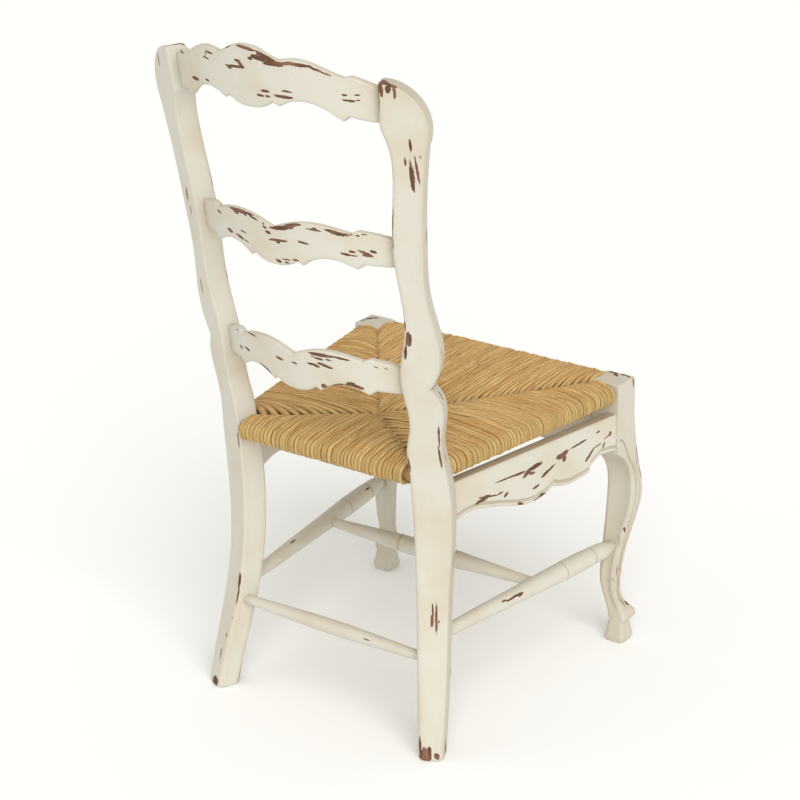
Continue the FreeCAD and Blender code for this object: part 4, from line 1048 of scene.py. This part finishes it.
# Cords stand side by side along the rail. Cord k leaves the seam at the point whose distance along the
# rail is in step with its own, and curves until it crosses the rail squarely.
# Cords stand side by side along the rail. Cord k leaves the seam at the point whose distance along the
# rail is in step with its own, and curves until it crosses the rail squarely: a parabola through the
# rail, a point square in from it and the seam. Gives the paths, each point's share of sinking into the
# seam, and its distance round the rail.
def cordPaths(railStart, railEnd, seamStart, seamEnd):
    railStart, railEnd, seamStart, seamEnd = (np.array(corner, float) for corner in
                                              (railStart, railEnd, seamStart, seamEnd))
    rail = railEnd - railStart
    span = np.hypot(*rail)
    way = rail / span
    meeting = np.array([0.0, rush["meeting"]])
    out = np.array([way[1], -way[0]])
    if out @ (railStart - meeting) < 0.0:
        out = -out
    count = int(round(span / rush["pitch"]))
    widths = rng.uniform(*cord["widths"], count)
    edges = np.concatenate([[0.0], np.cumsum(widths)]) / widths.sum()
    middles = (edges[1:] + edges[:-1]) / 2
    share, outPart, height = cordPath()
    onRail = railStart + np.multiply.outer(middles, rail)
    seam = np.array([seamStart, meeting, seamEnd])
    seamAlong = (seam - railStart) @ way
    target = seamAlong[0] + (seamAlong[2] - seamAlong[0]) * middles
    atSeam = np.stack([np.interp(target, seamAlong, seam[:, n]) for n in (0, 1)], 1)
    run = np.hypot(*(atSeam - onRail).T)
    bend = onRail - out * (cord["curve"] * run)[:, None]
    h = share[None, :, None]
    flat = (1 - h) ** 2 * onRail[:, None] + 2 * h * (1 - h) * bend[:, None] + h ** 2 * atSeam[:, None]
    flat = flat + outPart[None, :, None] * out
    wave = rng.normal(0.0, 1.0, (count, 3))
    along = np.linspace(0.0, 1.0, len(share))[None]
    sway = wave[:, :1] * np.sin(math.pi * along) \
        + cord["ripple"] * wave[:, 1:2] * np.sin(3.0 * math.pi * along)
    flat = flat + (cord["sway"] * sway)[..., None] * way
    fromSeam = (1.0 - share)[None] * run[:, None]
    sunk = np.exp(-(fromSeam / rush["seamWidth"]) ** 2) * np.where(share > 0.0, 1.0, 0.0)[None]
    crown = rush["crown"] * np.sin(math.pi * np.clip(share, 0.0, 1.0))
    lift = (height / np.abs(height).max())[None]
    z = height[None] + lift * (crown[None] - rush["seamDrop"] * sunk + cord["rise"] * wave[:, 2:3])
    z = z + seatHeight(flat[..., 1])
    return np.concatenate([flat, z[..., None]], -1), sunk, outPart, np.array([way[0], way[1], 0.0])


# The skins are ellipses along the paths, as wide as the space to the neighbours, with two lumps that
# turn along the cord as its twist does.
def rushQuarter(place, *corners):
    path, sunk, outPart, beside = cordPaths(*corners)
    count = len(path)
    tangent = np.gradient(path, axis=1)
    tangent = tangent / np.linalg.norm(tangent, axis=-1, keepdims=True)
    side = beside - (tangent @ beside)[..., None] * tangent
    side = side / np.linalg.norm(side, axis=-1, keepdims=True)
    normal = np.cross(tangent, side)
    gap = np.linalg.norm(np.gradient(path, axis=0), axis=-1)
    gap = gap * np.abs((side * np.gradient(path, axis=0) / gap[..., None]).sum(-1))
    angle = np.linspace(0.0, 2.0 * math.pi, rush["around"], endpoint=False)
    length = np.cumsum(np.linalg.norm(np.diff(path, axis=1, prepend=path[:, :1]), axis=-1), axis=1)
    phase = rng.uniform(0.0, 6.28, count)[:, None]
    turned = angle + (cord["twist"] * length + phase)[..., None]
    lumps = 1.0 + cord["lump"] * np.cos(2.0 * turned)
    wide = (cord["overlap"] * gap)[..., None] * lumps
    thick = rush["thick"] * lumps * (1.0 + cord["uneven"] * rng.normal(0.0, 1.0, (count, 1, 1)))
    rings = path[:, :, None] + (wide * np.cos(angle))[..., None] * side[:, :, None] \
        + (thick * np.sin(angle))[..., None] * normal[:, :, None]
    shape = rings.shape[:3]
    offset = rng.uniform(0.0, 90.0, (count, 1, 1))
    fibre = np.stack([cord["grainWidth"] * np.cos(turned) + offset,
                      cord["grainWidth"] * np.sin(turned) + 0.0 * offset,
                      np.broadcast_to((cord["grain"] * length)[..., None], shape)], -1)
    # Painted shade: the cords' sides, down between neighbours, and the parts that sink into the seam are
    # darkened.
    deep = np.abs(np.cos(angle))[None, None] ** 4 * cord["gapShade"]
    deep = deep + (sunk * cord["seamShade"])[..., None]
    rim = np.broadcast_to(np.clip(outPart / rush["bend"], 0.0, 1.0)[None, :, None], shape)
    tone = np.broadcast_to(rng.uniform(0.0, 1.0, (count, 1, 1)), shape)
    fields = {"fibre": fibre, "deep": np.clip(deep, 0.0, 1.0), "rim": rim, "tone": tone}
    standIn(meshPiece("rushWeave_" + place, rings, fields, "rush"), "rush", "rush_" + place)


# The rails' lines and the seams' ends follow the leg blocks and the posts' front faces.
def rushSeat():
    innerX = leg["halfWidth"] - leg["width"] + 1.5
    frontY = -rush["railForward"]
    sideX = leg["x"] + rush["railOut"]
    blockBack = leg["depth"] / 2 + 2.0
    height = railLevel - rush["fall"]
    frontFace = across(postLine["front"], height)
    backEnd = postPlace(rush["railAlongPost"], frontFace - 2.0, height)[:2]
    corner = postPlace(0.0, frontFace, height)[:2]
    rear = postPlace(-2.0, -rush["rearRailIn"], height)[:2]
    rushQuarter("front", (-innerX, frontY), (innerX, frontY), (-innerX, blockBack), (innerX, blockBack))
    rushQuarter("left", (sideX, blockBack), backEnd, (innerX, blockBack), corner)
    rushQuarter("right", (-backEnd[0], backEnd[1]), (-sideX, blockBack), corner * (-1, 1),
                (-innerX, blockBack))
    rushQuarter("rear", rear, rear * (-1, 1), corner, corner * (-1, 1))


rushSeat()
hiddenNodes = {"seat_rail_front": "rail", "seat_rail_rear": "rail", "seat_rail_left": "rail",
               "seat_rail_right": "rail", "seat_stuffing": "stuffing"}
for node, finish in hiddenNodes.items():
    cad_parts[node].data.materials.clear()
    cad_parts[node].data.materials.append(finishes[finish])
print("rush woven")

# Studio: a pale floor, a pale sky and two large soft lights. The fill is its place, size and power.
studio = {"floor": (0.965, 0.98, 0.995, 1.0), "shade": (0.945, 0.965, 0.985, 1.0), "reach": 30.0,
          "sky": (1.0, 0.962, 0.888, 1.0), "skyStrength": 0.67, "sun": 2.15, "sunAngle": 50.0,
          "sunFrom": (-0.58, 0.50, 0.64), "fill": ((3.0, 3.6, 2.6), 3.0, 14.0),
          "aim": (0.0, 0.0, 0.5)}


# The fill light and the sun both look at the middle of the chair.
def makeStudio():
    reach = studio["reach"]
    mesh = bpy.data.meshes.new("floor")
    corners = [(-reach, -reach, 0), (reach, -reach, 0), (reach, reach, 0), (-reach, reach, 0)]
    mesh.from_pydata(corners, [], [(0, 1, 2, 3)])
    s = Shader("paleFloor")
    tone = s.noise(s.objectPlace(), 0.7, 2.0)
    colour = s.mix(tone * 0.12, studio["floor"], studio["shade"])
    mesh.materials.append(s.finish(colour, tone * 0.1 + 0.75, tone, 0.0001, {"Specular IOR Level": 0.1}))
    floor = bpy.data.objects.new("floor", mesh)
    bpy.context.scene.collection.objects.link(floor)
    world = bpy.data.worlds.new("paleSky")
    world.use_nodes = True
    backdrop = world.node_tree.nodes["Background"]
    backdrop.inputs[0].default_value = studio["sky"]
    backdrop.inputs[1].default_value = studio["skyStrength"]
    bpy.context.scene.world = world
    place, size, power = studio["fill"]
    fill = bpy.data.lights.new("fillLight", "AREA")
    fill.size, fill.energy = size, power
    sun = bpy.data.lights.new("softSun", "SUN")
    sun.energy, sun.angle = studio["sun"], math.radians(studio["sunAngle"])
    for lamp, where in ((fill, Vector(place)), (sun, Vector(studio["sunFrom"]) * 4.0)):
        lit = bpy.data.objects.new(lamp.name, lamp)
        aim = Vector(studio["aim"]) - where
        lit.matrix_world = Matrix.Translation(where) @ aim.to_track_quat("-Z", "Y").to_matrix().to_4x4()
        bpy.context.scene.collection.objects.link(lit)
    bpy.context.scene.view_settings.view_transform = "Standard"


makeStudio()
print("studio lit")
